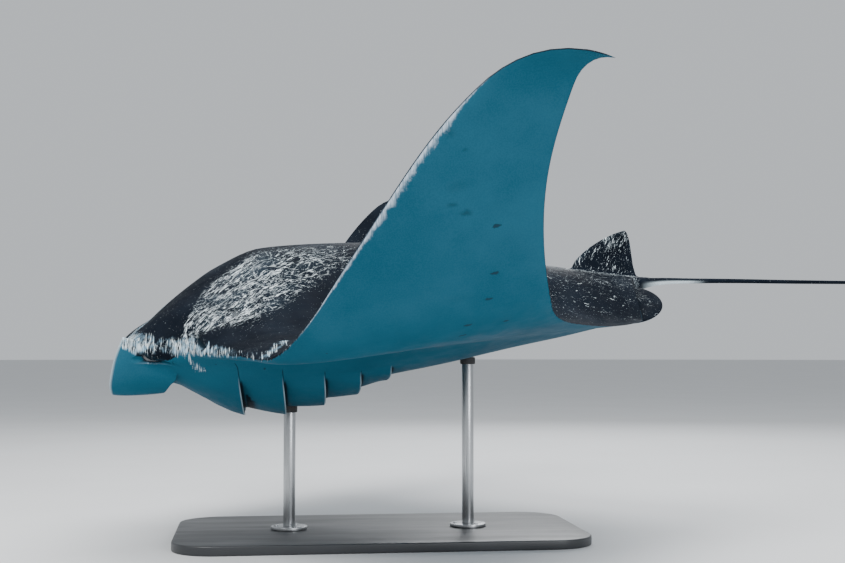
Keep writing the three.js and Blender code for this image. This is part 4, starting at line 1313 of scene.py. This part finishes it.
class MANTA_OT_hide(bpy.types.Operator):
    """Make the whole animal's skin, from its head to the tip of its tail"""
    bl_idname = "manta.hide"
    bl_label = "Skin"

    def execute(self, context):
        body = body_mesh()
        pairs = [(fin, side) for fin in (cephalic_fin, pelvic_fin) for _, side in SIDES]
        united(body, solid("fins", *pairs, (dorsal_fin,)))
        united(body, solid("tail", (tail,)))
        bm = bmesh.new()
        bm.from_mesh(body.data)
        seams = fill_seam_masks(bm)
        for reach, rounds in FILLETS:
            soften(bm, seams, reach, rounds)
        face_details(bm)
        turn_outward(bm)
        bm.to_mesh(body.data)
        bm.free()
        keep_masks(body.data)
        body.data.shade_smooth()
        flesh = [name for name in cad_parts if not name.startswith(("stand", "eye"))]
        riding(body, hide_material(context.scene.manta_hide), "skin_back", *flesh)
        return {"FINISHED"}


class MANTA_OT_eyes(bpy.types.Operator):
    """Make both eyeballs"""
    bl_idname = "manta.eyes"
    bl_label = "Eyes"

    def execute(self, context):
        colours = context.scene.manta_eyes
        material = eye_material(colours)
        for name, side in SIDES:
            bm = bmesh.new()
            layer = bm.verts.layers.float.new("gaze")
            made = bmesh.ops.create_uvsphere(bm, **EYE_MESH, radius=1)
            units = np.array([vert.co for vert in made["verts"]])
            units /= np.linalg.norm(units, axis=1)[:, None]
            turns = angles_between(units, direction(*GAZE))
            clear = colours.clear_bulge * 1000 * bell(turns, 0, CORNEA_WIDTH)
            local = units * (EYE_RADII + clear[:, None])
            places = pitched(*((EYE_CENTRE + local) * [side, 1, 1]).T)
            for vert, co, turn in zip(made["verts"], places, turns):
                vert[layer] = turn
                vert.co = co
            turn_outward(bm)
            riding(mesh_from(bm, f"eyeball_{name}"), material, "eye", f"eye_{name}")
        return {"FINISHED"}


# ---- Stand
# Metres

FLANGE_BEVEL = 0.0012
ROD_BEVEL = 0.0004
COLLAR_BEVEL = 0.003
COLLAR_DROP, COLLAR_HEIGHT = 0.008, 0.020  # from the rod's top down to the collar, and the collar's height
SCREW_TURNS = [0.5 + third * 2 * math.pi / 3 for third in range(3)]
SCREW_RISE = 0.0032
SCREW_BEVEL = 0.0008
SCREW_SIDES = 28
SOCKET_SIZE = 0.48  # of the screw's head
SOCKET_FLOOR, SOCKET_RISE = 0.0030, 0.0034
SOCKET_BEVEL = 0.00005
SOCKET_SIDES = 6
CORNER_SEGMENTS, EDGE_SEGMENTS, RIM_SEGMENTS = 16, 4, 3
SUNK = 0.001  # a screw's head starts this far within the flange


def bevelled(bm, edges, offset, segments):
    bmesh.ops.bevel(bm, geom=list(edges), offset=offset, affect="EDGES", segments=segments, profile=0.5,
                    material=-1)


def board_mesh(low, high, corner, bevel):
    """The base: a board with round corners and a fine bevel."""
    bm = bmesh.new()
    size = high - low
    made = bmesh.ops.create_cube(bm, size=1)
    bmesh.ops.scale(bm, vec=size, verts=made["verts"])
    bmesh.ops.translate(bm, vec=(low + high) / 2, verts=made["verts"])

    def upright(edge):
        return abs(edge.verts[0].co.z - edge.verts[1].co.z) > size.z / 2

    bevelled(bm, [edge for edge in bm.edges if upright(edge)], corner, CORNER_SEGMENTS)
    bevelled(bm, [edge for edge in bm.edges if not upright(edge)], bevel, EDGE_SEGMENTS)
    return mesh_from(bm, "stand_board")


def disc(bm, centre, radius, low, high, bevel, sides=64):
    """A round bar or disc on a vertical axis, with its two rims bevelled."""
    made = bmesh.ops.create_cone(bm, cap_ends=True, segments=sides, radius1=radius, radius2=radius,
                                 depth=high - low)
    bmesh.ops.translate(bm, vec=(centre[0], centre[1], (low + high) / 2), verts=made["verts"])
    faces = {face for vert in made["verts"] for face in vert.link_faces}
    rims = {edge for face in faces if len(face.verts) > 4 for edge in face.edges}
    bevelled(bm, rims, bevel, RIM_SEGMENTS)


def disc_mesh(name, *shape):
    bm = bmesh.new()
    disc(bm, *shape)
    return mesh_from(bm, name)


def flange_mesh(name, low, high, settings):
    """A rod's foot: a disc held down by three socket screws."""
    bm = bmesh.new()
    centre = (low + high) / 2
    disc(bm, centre, (high.x - low.x) / 2, low.z, high.z, FLANGE_BEVEL)
    for turn in SCREW_TURNS:
        at = centre + settings.screw_ring * Vector((math.cos(turn), math.sin(turn), 0))
        disc(bm, at, settings.screw, high.z - SUNK, high.z + SCREW_RISE, SCREW_BEVEL, SCREW_SIDES)
        disc(bm, at, settings.screw * SOCKET_SIZE, high.z + SOCKET_FLOOR, high.z + SOCKET_RISE,
             SOCKET_BEVEL, SOCKET_SIDES)
    return mesh_from(bm, name)


class MANTA_OT_stand(bpy.types.Operator):
    """Make the display stand: board, flanges, rods and collars"""
    bl_idname = "manta.stand"
    bl_label = "Display stand"

    def execute(self, context):
        settings = context.scene.manta_stand
        board = board_mesh(*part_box("stand_base"), settings.corner, settings.bevel)
        riding(board, board_material(settings), "stand_board", "stand_base")
        rod_steel = steel_material("stand_rod_steel", settings, (900.0, 900.0, 12.0))
        flange_steel = steel_material("stand_flange_steel", settings, (40.0, 900.0, 40.0))
        rubber = rubber_material(settings)
        for where in ("front", "rear"):
            foot = f"stand_flange_{where}"
            riding(flange_mesh(f"{foot}_disc", *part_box(foot), settings), flange_steel, "stand_steel", foot)
            bar = f"stand_rod_{where}"
            low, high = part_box(bar)
            centre, radius = (low + high) / 2, (high.x - low.x) / 2
            rod = disc_mesh(f"{bar}_bar", centre, radius, low.z, high.z, ROD_BEVEL)
            riding(rod, rod_steel, "stand_steel", bar)
            top = high.z - COLLAR_DROP
            collar = disc_mesh(f"stand_collar_{where}", centre, radius + settings.collar,
                               top - COLLAR_HEIGHT, top, COLLAR_BEVEL)
            riding(collar, rubber, "stand_steel")
        return {"FINISHED"}


# ---- Stage

FLOOR_RADIUS = 60
SKY_STRENGTH = 0.75
LIGHTS = [
    # name, place, aim, size across, power, colour
    ("key", (2.6, -2.6, 4.6), (0, 0.2, 0.6), 3.2, 330, (1.0, 0.99, 0.97)),
    ("overhead", (0.2, 0.6, 5.2), (0, 0.3, 0.5), 4.0, 230, (1.0, 1.0, 1.0)),
    ("fill", (4.6, 2.4, 1.6), (0, 0.4, 0.7), 3.0, 120, (0.94, 0.97, 1.0)),
    ("far", (-4.2, 1.5, 3.2), (0, 0.3, 0.7), 3.0, 130, (0.96, 0.98, 1.0)),
]


def stand_at(name, data, place_, ahead):
    """A light or a camera at a place, facing ahead."""
    holder = bpy.data.objects.new(name, data)
    holder.location = place_
    holder.rotation_euler = ahead.to_track_quat("-Z", "Y").to_euler()
    bpy.context.scene.collection.objects.link(holder)
    return holder


class MANTA_OT_stage(bpy.types.Operator):
    """Make the floor, the lights and the camera"""
    bl_idname = "manta.stage"
    bl_label = "Stage"

    def execute(self, context):
        settings = context.scene.manta_stage
        bm = bmesh.new()
        bmesh.ops.create_circle(bm, cap_ends=True, segments=96, radius=FLOOR_RADIUS)
        floor = mesh_from(bm, "floor")
        add_material(floor, floor_material(settings.floor))
        world = bpy.data.worlds.new("studio")
        world.use_nodes = True
        sky = world.node_tree.nodes["Background"].inputs
        sky["Color"].default_value = (*settings.sky, 1.0)
        sky["Strength"].default_value = SKY_STRENGTH
        context.scene.world = world
        for name, place_, aim, size, power, tint in LIGHTS:
            lamp = bpy.data.lights.new(name, "AREA")
            lamp.shape, lamp.size, lamp.energy, lamp.color = "DISK", size, power, tint
            stand_at(name, lamp, place_, Vector(aim) - Vector(place_))
        camera = bpy.data.cameras.new("camera")
        camera.angle = settings.view
        level = math.cos(settings.rise)
        ahead = Vector((-math.cos(settings.heading) * level, math.sin(settings.heading) * level,
                        math.sin(settings.rise)))
        context.scene.camera = stand_at("camera", camera, settings.camera, ahead)
        return {"FINISHED"}


# ---- Add-on


class MANTA_PT_panel(bpy.types.Panel):
    """The model's pieces and settings"""
    bl_idname = "MANTA_PT_panel"
    bl_label = "Manta ray model"
    bl_space_type = "VIEW_3D"
    bl_region_type = "UI"
    bl_category = "Manta"

    def draw(self, context):
        for operator in OPERATORS:
            self.layout.operator(operator.bl_idname)
        for name in SETTINGS:
            group = getattr(context.scene, name)
            box = self.layout.box()
            for key in group.bl_rna.properties.keys():
                if key not in ("rna_type", "name"):
                    box.prop(group, key)


OPERATORS = (MANTA_OT_hide, MANTA_OT_eyes, MANTA_OT_stand, MANTA_OT_stage)
SETTINGS = {"manta_hide": HideColours, "manta_eyes": EyeColours, "manta_stand": StandSettings,
            "manta_stage": StageSettings}


def register():
    for group in (*SETTINGS.values(), *OPERATORS, MANTA_PT_panel):
        bpy.utils.register_class(group)
    for name, group in SETTINGS.items():
        setattr(bpy.types.Scene, name, bpy.props.PointerProperty(type=group))


def unregister():
    for name in SETTINGS:
        delattr(bpy.types.Scene, name)
    for group in (MANTA_PT_panel, *reversed(OPERATORS), *reversed(SETTINGS.values())):
        bpy.utils.unregister_class(group)


def main():
    register()
    bpy.ops.manta.stage()
    bpy.ops.manta.hide()
    bpy.ops.manta.eyes()
    bpy.ops.manta.stand()


if __name__ == "__main__":
    main()
